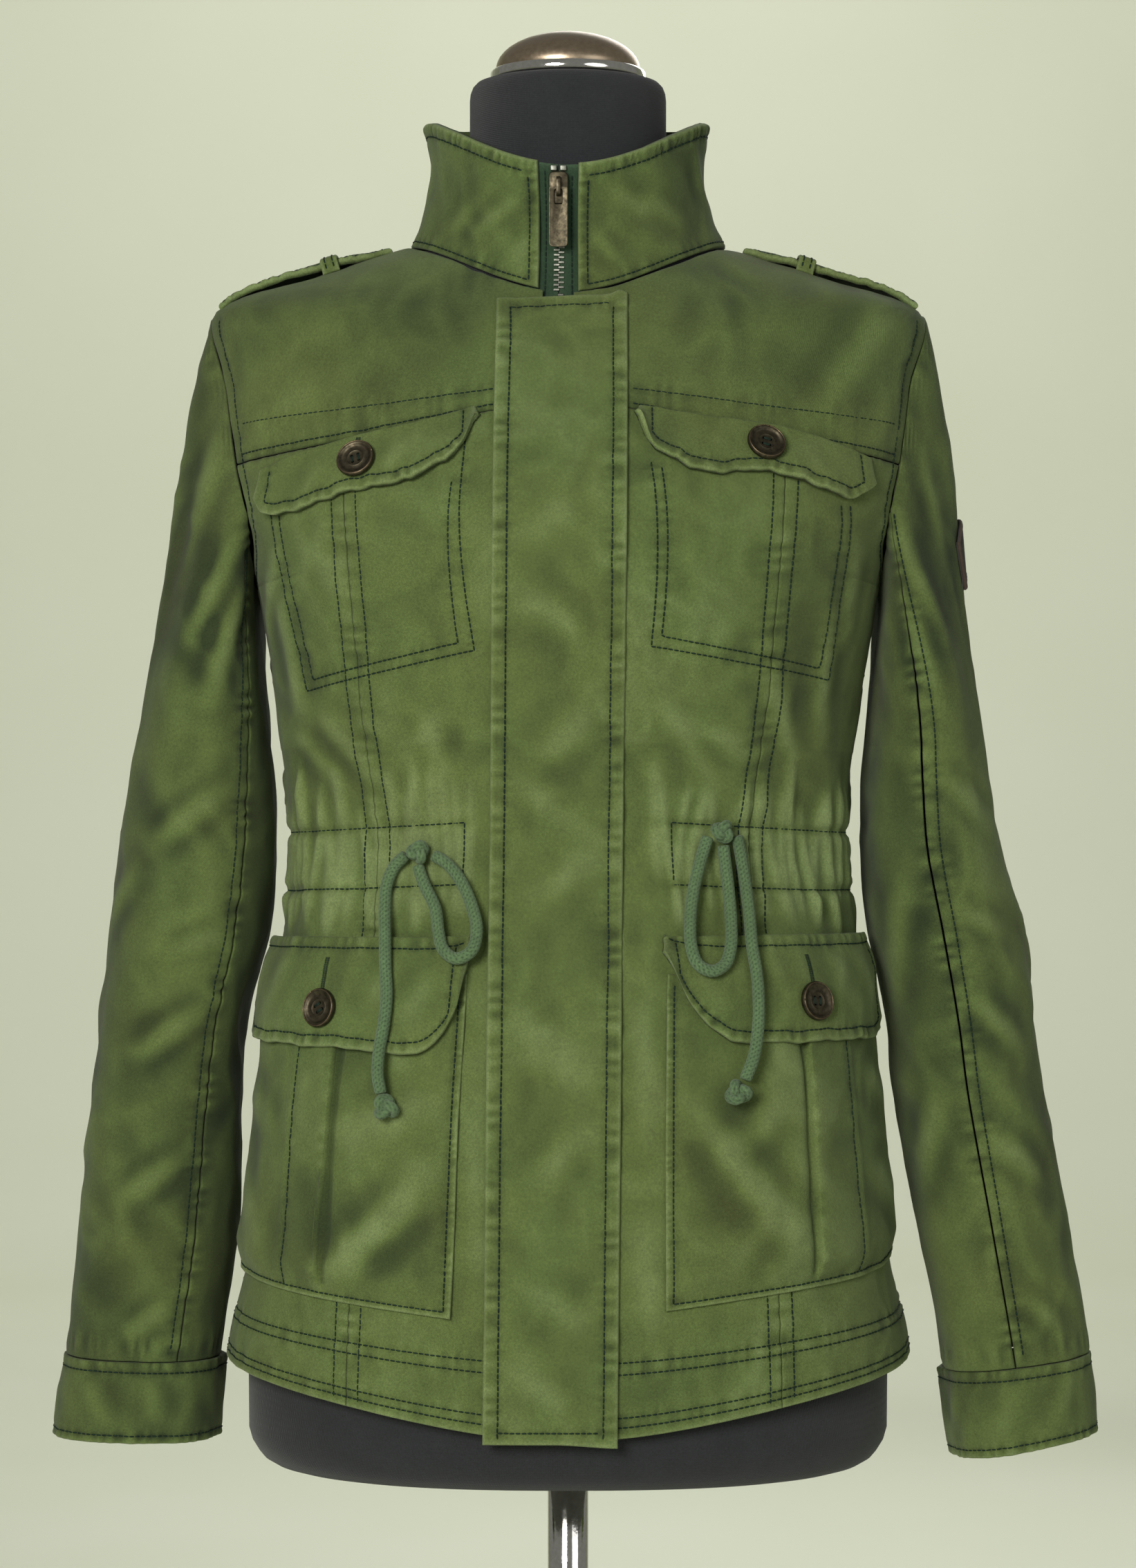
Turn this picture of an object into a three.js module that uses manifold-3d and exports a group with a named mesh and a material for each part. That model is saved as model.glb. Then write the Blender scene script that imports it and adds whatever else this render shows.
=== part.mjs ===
// An olive cotton utility jacket on a limbless dress form with a pole and a round base.
// Millimetres, +Z up. The origin is on the floor under the middle of the base, the front faces -Y.
// _right and _left are the wearer's, so _right is at -X. SIDES gives the sign of X for each.
//
// The jacket's cloth follows one shell, shell(u, v): u is the angle round the body in degrees from
// the centre front, plus towards +X, and v is the height of the level where it crosses the centre
// front. Everything that lies on a panel is made from the shell's points, moved out.
import * as THREE from 'three';
import Module from 'manifold-3d';
import { mergeVertices } from 'three/addons/utils/BufferGeometryUtils.js';

const RADIAN = Math.PI / 180;
const SIDES = { right: -1, left: 1 };

// Driving sizes
const CLOTH = 1.5;             // one wall of cotton twill
const DOUBLE_CLOTH = 2.4;      // two layers sewn together: flaps, placket, epaulettes, cuffs
const CLEAR = 0.35;            // what lies on a panel starts this far above it
const SEAM_GAP = 0.16;         // each side of a seam stays this far from it
const HEM_LEVEL = 533;
const HEM_TOP_LEVEL = 568;     // the hem is turned up to here
const HEM_LIFT = 0.8;          // and is this much thicker
const YOKE_LEVEL = 1060;
const NECK_LEVEL = 1121;
const ARMHOLE = { middle: 1038.5, half: 53.5, front: 17, back: 19 };   // levels, degrees
const FRONT_EDGE = { right: 13, left: 3 };     // mm from the middle plane, under the placket
const ZIP_X = -5;
const CORD_RADIUS = 3.25;
const BUTTON_RADIUS = 10.2;
const NECK_RADIUS = 52.5;
const POLE_RADIUS = 10.8;
const FORM_BOTTOM = 503;
const BASE_RADIUS = 170;
const BASE_TOP = 16;

// Finishes
const finish = (color, roughness, metalness = 0) => (
  new THREE.MeshStandardMaterial({ color, roughness, metalness })
);
const OLIVE = finish(0x5d7346, 0.9);
const CORD_GREEN = finish(0x55785a, 0.85);
const TAPE_GREEN = finish(0x2f4a3a, 0.9);
const BRONZE = finish(0x6b5238, 0.45, 0.9);
const KNIT_BLACK = finish(0x1c1f20, 0.95);
const SATIN_CHAMPAGNE = finish(0xc9b38c, 0.35, 0.6);
const CHROME = finish(0xd8dadc, 0.15, 1);
const PATCH_BROWN = finish(0x2c231d, 0.8);

const jacket = new THREE.Group();

// Number helpers
const lerp = (a, b, t) => a + (b - a) * t;
const clamp = (x, low, high) => Math.min(high, Math.max(low, x));
const ease = (t) => {
  const s = clamp(t, 0, 1);
  return s * s * (3 - 2 * s);
};
// A repeatable uneven number from -1 to 1 for a count
const uneven = (k) => 2 * ((Math.sin(k * 12.9898 + 4.1) * 43758.5453) % 1 + 1) % 2 - 1;

// A smooth curve through each named column of a table, keyed by its first column, ascending
function table(columns, rows) {
  const slope = (i, c) => {
    const before = rows[Math.max(0, i - 1)];
    const after = rows[Math.min(rows.length - 1, i + 1)];
    return (after[c] - before[c]) / (after[0] - before[0]);
  };
  return (name, key) => {
    const c = columns.indexOf(name);
    const last = rows.length - 1;
    if (key <= rows[0][0]) return rows[0][c] + slope(0, c) * (key - rows[0][0]);
    if (key >= rows[last][0]) return rows[last][c] + slope(last, c) * (key - rows[last][0]);
    let i = 0;
    while (key > rows[i + 1][0]) i += 1;
    const h = rows[i + 1][0] - rows[i][0];
    const t = (key - rows[i][0]) / h;
    const hold = (1 + 2 * t) * (1 - t) * (1 - t);
    const reach = t * t * (3 - 2 * t);
    const leave = t * (1 - t) * (1 - t) * h * slope(i, c);
    const arrive = t * t * (t - 1) * h * slope(i + 1, c);
    return rows[i][c] * hold + rows[i + 1][c] * reach + leave + arrive;
  };
}

// The shell: heights where a level passes the side and the back, half width, depths, squareness
const body = table(['level', 'side', 'back', 'halfWidth', 'front', 'rear', 'square'], [
  [500, 534, 522, 184, 128, 119, 2.5],
  [533, 563, 552, 181, 126, 118, 2.5],
  [568, 586, 578, 177, 124, 117, 2.5],
  [600, 612, 606, 171, 122, 116, 2.5],
  [660, 664, 662, 165, 119, 116, 2.5],
  [722, 722, 722, 160, 115, 113, 2.5],
  [781, 777, 777, 153, 107, 106, 2.45],
  [831, 824, 824, 147, 98, 97, 2.4],
  [870, 862, 862, 149, 101, 96, 2.4],
  [915, 903, 905, 155, 112, 100, 2.4],
  [970, 955, 958, 163, 124, 107, 2.5],
  [1005, 985, 994, 169, 123, 111, 2.65],
  [1040, 1011, 1040, 177, 112, 110, 2.8],
  [1060, 1030, 1070, 182, 103, 105, 2.8],
  [1078, 1075, 1098, 187, 94, 97, 2.6],
  [1092, 1115, 1118, 189, 85, 88, 2.3],
  [1106, 1134, 1138, 138, 76, 75, 2.1],
  [1121, 1151, 1158, 85, 66, 62, 2.0],
  [1130, 1160, 1168, 60, 60, 55, 2.0],
]);

// Distance from the axis at an angle, for half sizes and a squareness
function reachAt(angle, halfWidth, depth, square) {
  const across = Math.abs(Math.sin(angle)) / halfWidth;
  const along = Math.abs(Math.cos(angle)) / depth;
  return (across ** square + along ** square) ** (-1 / square);
}

function shell(u, v) {
  const angle = u * RADIAN;
  const isFront = Math.cos(angle) >= 0;
  const depth = body(isFront ? 'front' : 'rear', v);
  const reach = reachAt(angle, body('halfWidth', v), depth, body('square', v));
  const sideways = Math.sin(angle) ** 2;
  const middle = isFront ? v : body('back', v);
  const z = lerp(middle, body('side', v), sideways);
  return new THREE.Vector3(reach * Math.sin(angle), -reach * Math.cos(angle), z);
}

function shellNormal(u, v) {
  const across = shell(u + 0.8, v).sub(shell(u - 0.8, v));
  const up = shell(u, v + 1.5).sub(shell(u, v - 1.5));
  return across.cross(up).normalize();
}

// Broad soft folds of the whole cloth: from one spot to another, mm either side, height
const MM_PER_DEGREE = 2.5;
const FOLDS = [
  // u0, v0, u1, v1, half width, height
  [-78, 900, -62, 780, 22, 4.0],
  [66, 905, 80, 775, 22, 4.5],
  [-40, 930, -48, 862, 20, 2.5],
  [38, 935, 46, 860, 20, 3.0],
  [-24, 780, -30, 640, 24, 2.5],
  [24, 770, 22, 620, 24, 2.5],
  [112, 980, 140, 860, 24, 4.5],
  [-112, 975, -142, 855, 24, 4.5],
  [150, 800, 158, 620, 28, 5.0],
  [-150, 790, -160, 610, 28, 5.0],
  [180, 960, 180, 880, 26, 3.0],
];

function ridge(px, py, [u0, v0, u1, v1, halfWidth, height]) {
  const dx = (u1 - u0) * MM_PER_DEGREE;
  const dy = v1 - v0;
  const ex = (px - u0) * MM_PER_DEGREE;
  const ey = py - v0;
  const length = dx * dx + dy * dy;
  const t = clamp((ex * dx + ey * dy) / length, 0, 1);
  const away = Math.hypot(ex - t * dx, ey - t * dy);
  const taper = Math.sin(Math.PI * lerp(0.12, 0.88, t));
  return height * taper * Math.exp(-((away / halfWidth) ** 2) * 1.6);
}

// u may run past 180, so the folds of the back are looked up both ways round
function drape(u, v) {
  const turn = u > 180 ? u - 360 : u;
  return FOLDS.reduce((sum, fold) => {
    const over = Math.abs(turn) > 90 ? ridge(turn - 360 * Math.sign(turn), v, fold) : 0;
    return sum + ridge(turn, v, fold) + over;
  }, 0);
}

// A point of the cloth, moved out by a height
function cloth(u, v, height) {
  return shell(u, v).addScaledVector(shellNormal(u, v), height + drape(u, v));
}

// The angle where a level reaches a distance from the middle plane
function angleAtX(x, v) {
  let low = 0;
  let high = 89.5;
  for (let k = 0; k < 26; k += 1) {
    const middle = (low + high) / 2;
    if (shell(middle, v).x < Math.abs(x)) low = middle;
    else high = middle;
  }
  return low * Math.sign(x || 1);
}

// The level and angle of a spot of the front, seen square on at x and z
function spot(x, z) {
  let v = z;
  let u = 0;
  for (let k = 0; k < 8; k += 1) {
    u = angleAtX(x, v);
    v += z - shell(u, v).z;
  }
  return [u, v];
}

// The level and angle of a spot on the shoulders, seen from above at x and y
function spotAbove(x, y) {
  const angle = Math.atan2(x, -y);
  const wanted = Math.hypot(x, y);
  let low = YOKE_LEVEL;
  let high = 1129;
  for (let k = 0; k < 26; k += 1) {
    const v = (low + high) / 2;
    const p = shell(angle / RADIAN, v);
    if (Math.hypot(p.x, p.y) > wanted) low = v;
    else high = v;
  }
  return [angle / RADIAN, low];
}

// Mesh helpers: a row is a list of { p, t }, with t from 0 to 1 along it
function signedVolume(points, faces) {
  const sum = faces.reduce((total, [a, b, c]) => {
    const cross = new THREE.Vector3().crossVectors(points[b], points[c]);
    return total + points[a].dot(cross);
  }, 0);
  return sum / 6;
}

function addMesh(name, points, faces, material) {
  const turned = signedVolume(points, faces) < 0;
  const index = faces.flatMap(([a, b, c]) => (turned ? [a, c, b] : [a, b, c]));
  const geometry = new THREE.BufferGeometry();
  const values = points.flatMap((p) => [p.x, p.y, p.z]);
  geometry.setAttribute('position', new THREE.Float32BufferAttribute(values, 3));
  geometry.setIndex(index);
  geometry.computeVertexNormals();
  const mesh = new THREE.Mesh(geometry, material);
  mesh.name = name;
  jacket.add(mesh);
  return mesh;
}

// Triangles between two lines of numbered points
function strip(faces, a, b) {
  let i = 0;
  let j = 0;
  while (i < a.length - 1 || j < b.length - 1) {
    const nextA = i < a.length - 1 ? a[i + 1].t : Infinity;
    const nextB = j < b.length - 1 ? b[j + 1].t : Infinity;
    if (nextA <= nextB + 1e-9) {
      faces.push([a[i].n, a[i + 1].n, b[j].n]);
      i += 1;
    } else {
      faces.push([a[i].n, b[j + 1].n, b[j].n]);
      j += 1;
    }
  }
}

// A closed wall from rows of outer and of inner points, each row { key, points }
function addWall(name, outer, inner, material) {
  const points = [];
  const faces = [];
  const number = (rows) => rows.map(({ key, points: row }) => ({
    key,
    row: row.map(({ p, t }) => ({ n: points.push(p) - 1, t })),
  }));
  const out = number(outer);
  const back = number(inner);
  for (let k = 0; k < out.length - 1; k += 1) strip(faces, out[k].row, out[k + 1].row);
  const flipped = [];
  for (let k = 0; k < back.length - 1; k += 1) strip(flipped, back[k].row, back[k + 1].row);
  flipped.forEach(([a, b, c]) => faces.push([a, c, b]));
  const edge = (rows, atEnd) => {
    const first = rows[0].key;
    const span = rows[rows.length - 1].key - first;
    return rows.map(({ key, row }) => {
      const { n } = row[atEnd ? row.length - 1 : 0];
      return { n, t: (key - first) / span };
    });
  };
  strip(faces, back[0].row, out[0].row);
  strip(faces, out[out.length - 1].row, back[back.length - 1].row);
  strip(faces, edge(out, false), edge(back, false));
  strip(faces, edge(back, true), edge(out, true));
  return addMesh(name, points, faces, material);
}

const steps = (count) => Array.from({ length: count + 1 }, (_, k) => k / count);

// Rows of a patch: place(s, t) gives a point, for s along a row and t from row to row
function patchRows(rowKeys, columns, place) {
  return rowKeys.map((t) => ({
    key: t,
    points: columns.map((s) => ({ p: place(s, t), t: s })),
  }));
}

function addPatch(name, { rows, columns, innerRows, innerColumns, outer, inner, material }) {
  addWall(
    name,
    patchRows(rows, columns, outer),
    patchRows(innerRows ?? rows, innerColumns ?? columns, inner),
    material ?? OLIVE,
  );
}

// Levels of the body panels
const LOW_LEVELS = [HEM_LEVEL, HEM_TOP_LEVEL, HEM_TOP_LEVEL + 3, 598, 640, 690, 740, 780];
const GATHER_LEVELS = [803, 815, 831, 847, 862];
const GATHER_HEIGHT = { 803: 1.9, 815: 0.9, 831: 2.3, 847: 0.9, 862: 2.1 };
const HIGH_LEVELS = [890, 930, 970];
const INNER_LOW_LEVELS = [HEM_LEVEL, 569, 600, 680, 745, 800, 831, 862, 905, 945];
const armholeLevel = (degrees) => ARMHOLE.middle + ARMHOLE.half * Math.cos(degrees * RADIAN);
const ARMHOLE_BOTTOM = armholeLevel(180);
const ARMHOLE_TOP = armholeLevel(0);
const LOW_ARMHOLE_LEVELS = [ARMHOLE_BOTTOM, armholeLevel(155), armholeLevel(132), armholeLevel(108),
  armholeLevel(86)];
const HIGH_ARMHOLE_LEVELS = [armholeLevel(45), armholeLevel(24), ARMHOLE_TOP];
const SHOULDER_LEVELS = [1100, 1110, NECK_LEVEL - SEAM_GAP * 2];

// Degrees from the middle of the side to the armhole's edge at a level
function armholeReach(v, widest) {
  const t = (v - ARMHOLE.middle) / ARMHOLE.half;
  return Math.abs(t) >= 1 ? 0 : widest * Math.sqrt(1 - t * t);
}

const degreesOf = (mm, u, v) => {
  const p = shell(u, v);
  return mm / (Math.hypot(p.x, p.y) * RADIAN);
};

// The princess seam's distance from the middle plane
const princess = table(['level', 'x'], [
  [533, 113], [586, 112], [700, 107], [831, 97], [865, 100], [917, 107], [1009, 114], [1060, 116],
]);

const princessAngle = (side, v) => (
  Math.abs(angleAtX(princess('x', v) - (side === 'left' ? 4 : 0), v))
);

// Columns of a level: plain ones, or a ridge and a valley for each gather between two shares
function gatherColumns(count, from, to, seed) {
  const columns = from > 0 ? [{ t: 0, h: 0 }] : [];
  for (let k = 0; k <= 2 * count; k += 1) {
    const shift = k > 0 && k < 2 * count ? 0.32 * uneven(seed + k) : 0;
    const isRidge = k % 2 === 1;
    const height = isRidge ? 0.72 + 0.4 * uneven(seed * 3 + k) : 0;
    columns.push({ t: lerp(from, to, (k + shift) / (2 * count)), h: height });
  }
  if (to < 1) columns.push({ t: 1, h: 0 });
  return columns;
}

function addBodyPanel(name, { levels, innerLevels, columns, innerColumns, gathers, from, to }) {
  const plain = steps(columns).map((t) => ({ t, h: 0 }));
  const outer = levels.map((v) => {
    const peak = GATHER_HEIGHT[v] ?? 0;
    const list = peak ? gathers : plain;
    const hem = v <= HEM_TOP_LEVEL ? HEM_LIFT : 0;
    const points = list.map(({ t, h }) => ({
      p: cloth(lerp(from(v), to(v), t), v, hem + h * peak),
      t,
    }));
    return { key: v, points };
  });
  const inner = innerLevels.map((v) => ({
    key: v,
    points: steps(innerColumns).map((t) => ({
      p: cloth(lerp(from(v), to(v), t), v, -CLOTH),
      t,
    })),
  }));
  addWall(name, outer, inner, OLIVE);
}

function addFronts(side) {
  const sign = SIDES[side];
  const seam = (v) => princessAngle(side, v);
  const gap = (u, v) => degreesOf(SEAM_GAP, u, v);
  const middle = (v) => sign * Math.abs(angleAtX(FRONT_EDGE[side], v));
  const yokeEdge = YOKE_LEVEL - SEAM_GAP * 1.5;
  addBodyPanel(`front_centre_${side}`, {
    levels: [...LOW_LEVELS, ...GATHER_LEVELS, ...HIGH_LEVELS, ...LOW_ARMHOLE_LEVELS, yokeEdge],
    innerLevels: [...INNER_LOW_LEVELS, ...LOW_ARMHOLE_LEVELS, yokeEdge],
    columns: 6,
    innerColumns: 4,
    gathers: gatherColumns(7, 0.34, 1, sign + 2),
    from: (v) => (side === 'right' ? middle(v) : sign * Math.abs(angleAtX(3, v))),
    to: (v) => sign * (seam(v) - gap(seam(v), v)),
  });
  const armEdge = (v) => 90 - armholeReach(v, ARMHOLE.front);
  addBodyPanel(`front_side_${side}`, {
    levels: [...LOW_LEVELS, ...GATHER_LEVELS, ...HIGH_LEVELS, ...LOW_ARMHOLE_LEVELS, yokeEdge],
    innerLevels: [...INNER_LOW_LEVELS, ...LOW_ARMHOLE_LEVELS, yokeEdge],
    columns: 7,
    innerColumns: 5,
    gathers: gatherColumns(12, 0, 1, 2 * sign + 30),
    from: (v) => sign * (seam(v) + gap(seam(v), v)),
    to: (v) => sign * (armEdge(v) - gap(90, v)),
  });
  const yokeBottom = YOKE_LEVEL + SEAM_GAP * 1.5;
  addBodyPanel(`yoke_front_${side}`, {
    levels: [yokeBottom, ...HIGH_ARMHOLE_LEVELS, ...SHOULDER_LEVELS],
    innerLevels: [yokeBottom, ...HIGH_ARMHOLE_LEVELS, ...SHOULDER_LEVELS],
    columns: 10,
    innerColumns: 8,
    gathers: [],
    from: middle,
    to: (v) => sign * (armEdge(v) - gap(90, v)),
  });
}

function addBack() {
  const edge = (v) => 90 + armholeReach(v, ARMHOLE.back) + degreesOf(SEAM_GAP, 90, v);
  addBodyPanel('back', {
    levels: [...LOW_LEVELS, ...GATHER_LEVELS, ...HIGH_LEVELS, ...LOW_ARMHOLE_LEVELS,
      armholeLevel(66), ...HIGH_ARMHOLE_LEVELS, ...SHOULDER_LEVELS],
    innerLevels: [...INNER_LOW_LEVELS, ...LOW_ARMHOLE_LEVELS, armholeLevel(66),
      ...HIGH_ARMHOLE_LEVELS, ...SHOULDER_LEVELS],
    columns: 18,
    innerColumns: 18,
    gathers: gatherColumns(30, 0, 1, 77),
    from: edge,
    to: (v) => 360 - edge(v),
  });
}

// The placket lies over the zip. It has an edge either side, wavy from its stitching
const PLACKET = { right: -37, left: 31, top: 1116, drift: -6, rows: 34 };
function addPlacket() {
  const rows = steps(PLACKET.rows);
  const place = (s, t, height) => {
    const z = lerp(HEM_LEVEL + 1, PLACKET.top, t);
    const shift = PLACKET.drift * (1 - t);
    const x = lerp(PLACKET.right, PLACKET.left, s) + shift;
    const lift = z < 600 ? HEM_LIFT : 0;
    return cloth(...spot(x, z), height + lift);
  };
  const pucker = (s, t) => {
    const nearEdge = Math.abs(s - 0.5) > 0.35 ? 1 : 0;
    return nearEdge * (0.5 + 0.7 * uneven(Math.round(t * PLACKET.rows) * (s < 0.5 ? 3 : 7)));
  };
  addPatch('placket', {
    rows,
    columns: [0, 0.1, 0.3, 0.7, 0.9, 1],
    innerColumns: steps(4),
    outer: (s, t) => place(s, t, CLEAR + DOUBLE_CLOTH + pucker(s, t)),
    inner: (s, t) => place(s, t, CLEAR + 0.25),
  });
}

// The stand collar: height above the neck seam against half width, front and rear depth
const collarForm = table(['rise', 'halfWidth', 'front', 'rear'], [
  [0, 84, 65.5, 62],
  [14, 78, 64, 60],
  [38, 72.5, 64, 61],
  [66, 76.5, 69, 66],
]);
const COLLAR_HEIGHT = 66;
const COLLAR_EDGE = { right: 15.5, left: 5.5 };
const COLLAR_THICK = 2.4;

function collarPoint(u, rise, height) {
  const at = (angle, h) => {
    const isFront = Math.cos(angle) >= 0;
    const depth = collarForm(isFront ? 'front' : 'rear', h);
    const reach = reachAt(angle, collarForm('halfWidth', h), depth, 2);
    const seam = shell(angle / RADIAN, NECK_LEVEL);
    return new THREE.Vector3(reach * Math.sin(angle), -reach * Math.cos(angle), seam.z + h);
  };
  const angle = u * RADIAN;
  const across = at(angle + 0.02, rise).sub(at(angle - 0.02, rise));
  const up = at(angle, rise + 1).sub(at(angle, rise - 1));
  return at(angle, rise).addScaledVector(across.cross(up).normalize(), height);
}

// Slanting creases of the collar: u0, rise0, u1, rise1, half width, height
const COLLAR_CREASES = [
  [-20, 40, -48, 12, 7, 1.8],
  [-30, 58, -62, 26, 7, 1.6],
  [22, 38, 46, 10, 7, 1.8],
  [34, 60, 58, 30, 7, 1.5],
];

function addCollar() {
  const from = Math.asin(COLLAR_EDGE.left / 66) / RADIAN;
  const to = 360 - Math.asin(COLLAR_EDGE.right / 66) / RADIAN;
  const crease = (u, rise) => COLLAR_CREASES.reduce((sum, [u0, r0, u1, r1, wide, tall]) => {
    const turn = u > 180 ? u - 360 : u;
    const halfDegree = wide / 1.25;
    return sum + ridge(turn * 0.5, rise, [u0 * 0.5, r0, u1 * 0.5, r1, halfDegree, tall]);
  }, 0);
  addPatch('collar', {
    rows: [0, 0.12, 0.3, 0.5, 0.7, 0.88, 1],
    columns: steps(34),
    innerRows: [0, 0.15, 0.35, 0.6, 0.8, 1],
    innerColumns: steps(28),
    outer: (s, t) => {
      const u = lerp(from, to, s);
      const rise = lerp(SEAM_GAP * 2, COLLAR_HEIGHT, t);
      return collarPoint(u, rise, crease(u, rise));
    },
    inner: (s, t) => collarPoint(lerp(from, to, s), lerp(SEAM_GAP * 2, COLLAR_HEIGHT, t),
      -COLLAR_THICK),
  });
}

// The zip: two tapes behind the fronts and the collar's front edges
const TAPE = { wide: 17, thick: 0.9, gap: 0.2, behindFront: 3.6, behindCollar: 4.0 };
const TAPE_HEIGHTS = [539, 600, 680, 745, 800, 831, 862, 905, 945, 985, 1022, 1060, 1085, 1100,
  1110, 1118, 1124, 1133, 1145, 1160, 1172, 1181];
function zipPoint(x, z, depth) {
  const risen = z - NECK_LEVEL;
  if (risen <= 0) return cloth(...spot(x, z), -TAPE.behindFront - depth);
  const u = Math.asin(x / 66) / RADIAN;
  const behind = lerp(TAPE.behindFront, TAPE.behindCollar, ease(risen / 12));
  return collarPoint(u, risen, -behind - depth);
}

function addZipTape(side) {
  const sign = SIDES[side];
  const place = (s, z, depth) => (
    zipPoint(ZIP_X + sign * lerp(TAPE.gap, TAPE.wide, s), z, depth)
  );
  addPatch(`zip_tape_${side}`, {
    rows: TAPE_HEIGHTS,
    columns: [0, 1],
    outer: (s, t) => place(s, t, 0),
    inner: (s, t) => place(s, t, TAPE.thick),
    material: TAPE_GREEN,
  });
}

// The slider: a plate on the tapes with a bail, and the pull tab that hangs in the bail
const SLIDER = { top: 1183, tall: 17, wide: 10, thick: 2.4 };
const BAIL = { half: 3.6, rod: 1.5, inside: 3.0, wide: 2.2 };
const TAB = { wide: 9.7, long: 31, thick: 1.5, bar: 1.2, slotWide: 4.4, slotLong: 7.8 };
const bailZ = SLIDER.top - 8;
const sliderSeat = Math.min(...[-1, 1].flatMap((end) => [0, SLIDER.tall].map((drop) => (
  zipPoint(ZIP_X + end * SLIDER.wide / 2, SLIDER.top - drop, 0).y
))));
const sliderFace = sliderSeat - CLEAR - SLIDER.thick;

function roundedOutline(wide, tall, radius) {
  const shape = new THREE.Shape();
  const x = wide / 2;
  const y = tall / 2;
  shape.moveTo(-x + radius, -y);
  shape.lineTo(x - radius, -y);
  shape.quadraticCurveTo(x, -y, x, -y + radius);
  shape.lineTo(x, y - radius);
  shape.quadraticCurveTo(x, y, x - radius, y);
  shape.lineTo(-x + radius, y);
  shape.quadraticCurveTo(-x, y, -x, y - radius);
  shape.lineTo(-x, -y + radius);
  shape.quadraticCurveTo(-x, -y, -x + radius, -y);
  return shape;
}

const wasm = await Module();
wasm.setup();

function toSolid(geometry) {
  const bare = geometry.clone();
  bare.deleteAttribute('normal');
  bare.deleteAttribute('uv');
  const merged = mergeVertices(bare, 1e-4);
  return new wasm.Manifold(new wasm.Mesh({
    numProp: 3,
    vertProperties: new Float32Array(merged.attributes.position.array),
    triVerts: new Uint32Array(merged.index.array),
  }));
}

function fromSolid(solid) {
  const { vertProperties, triVerts } = solid.getMesh();
  const geometry = new THREE.BufferGeometry();
  geometry.setAttribute('position', new THREE.Float32BufferAttribute(vertProperties, 3));
  geometry.setIndex(Array.from(triVerts));
  geometry.computeVertexNormals();
  return geometry;
}

function addGeometry(name, geometry, material, at = new THREE.Vector3()) {
  const mesh = new THREE.Mesh(geometry, material);
  mesh.name = name;
  mesh.position.copy(at);
  jacket.add(mesh);
  return mesh;
}

// Stands an outline drawn in X and Z up, with its thickness towards -Y
function upright(shape, thick) {
  const geometry = new THREE.ExtrudeGeometry(shape, {
    depth: thick, bevelEnabled: false, curveSegments: 3,
  });
  return geometry.rotateX(Math.PI / 2);
}

function addSlider() {
  const plate = upright(roundedOutline(SLIDER.wide, SLIDER.tall, 3), SLIDER.thick);
  plate.translate(0, SLIDER.thick, SLIDER.top - SLIDER.tall / 2 - bailZ);
  const out = BAIL.inside + BAIL.rod;
  const end = BAIL.half + BAIL.rod;
  const chamfer = 1.2;
  const rooted = -0.3;
  const arch = new THREE.Shape();
  arch.moveTo(rooted, -end);
  arch.lineTo(out - chamfer, -end);
  arch.lineTo(out, chamfer - end);
  arch.lineTo(out, end - chamfer);
  arch.lineTo(out - chamfer, end);
  arch.lineTo(rooted, end);
  arch.closePath();
  const hole = new THREE.Path();
  hole.moveTo(rooted / 2, -BAIL.half);
  hole.lineTo(rooted / 2, BAIL.half);
  hole.lineTo(BAIL.inside, BAIL.half);
  hole.lineTo(BAIL.inside, -BAIL.half);
  hole.closePath();
  arch.holes.push(hole);
  const bail = new THREE.ExtrudeGeometry(arch, { depth: BAIL.wide, bevelEnabled: false });
  const forward = new THREE.Vector3(0, -1, 0);
  const up = new THREE.Vector3(0, 0, 1);
  const sideways = new THREE.Vector3(-1, 0, 0);
  bail.applyMatrix4(new THREE.Matrix4().makeBasis(forward, up, sideways));
  bail.translate(BAIL.wide / 2, 0, 0);
  const solid = toSolid(plate).add(toSolid(bail));
  addGeometry('zip_slider', fromSolid(solid), BRONZE, new THREE.Vector3(ZIP_X, sliderFace, bailZ));
}

// The tab's bar lies inside the bail, and its slot lets the bail through as it swings
function addPullTab() {
  const half = TAB.wide / 2;
  const top = TAB.bar / 2;
  const bottom = top - TAB.long;
  const corner = 1.2;
  const shape = new THREE.Shape();
  shape.moveTo(-half + corner, bottom);
  shape.lineTo(half - corner, bottom);
  shape.lineTo(half, bottom + corner);
  shape.lineTo(half, top - corner / 2);
  shape.lineTo(half - corner / 2, top);
  shape.lineTo(-half + corner / 2, top);
  shape.lineTo(-half, top - corner / 2);
  shape.lineTo(-half, bottom + corner);
  shape.closePath();
  const slot = new THREE.Path();
  slot.moveTo(-TAB.slotWide / 2, -top);
  slot.lineTo(-TAB.slotWide / 2, -top - TAB.slotLong);
  slot.lineTo(TAB.slotWide / 2, -top - TAB.slotLong);
  slot.lineTo(TAB.slotWide / 2, -top);
  slot.closePath();
  shape.holes.push(slot);
  const geometry = upright(shape, TAB.thick);
  const pivot = new THREE.Vector3(ZIP_X, sliderFace - BAIL.inside / 2 + TAB.thick / 2, bailZ - 1);
  addGeometry('zip_pull_tab', geometry, BRONZE, pivot);
}

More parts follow.
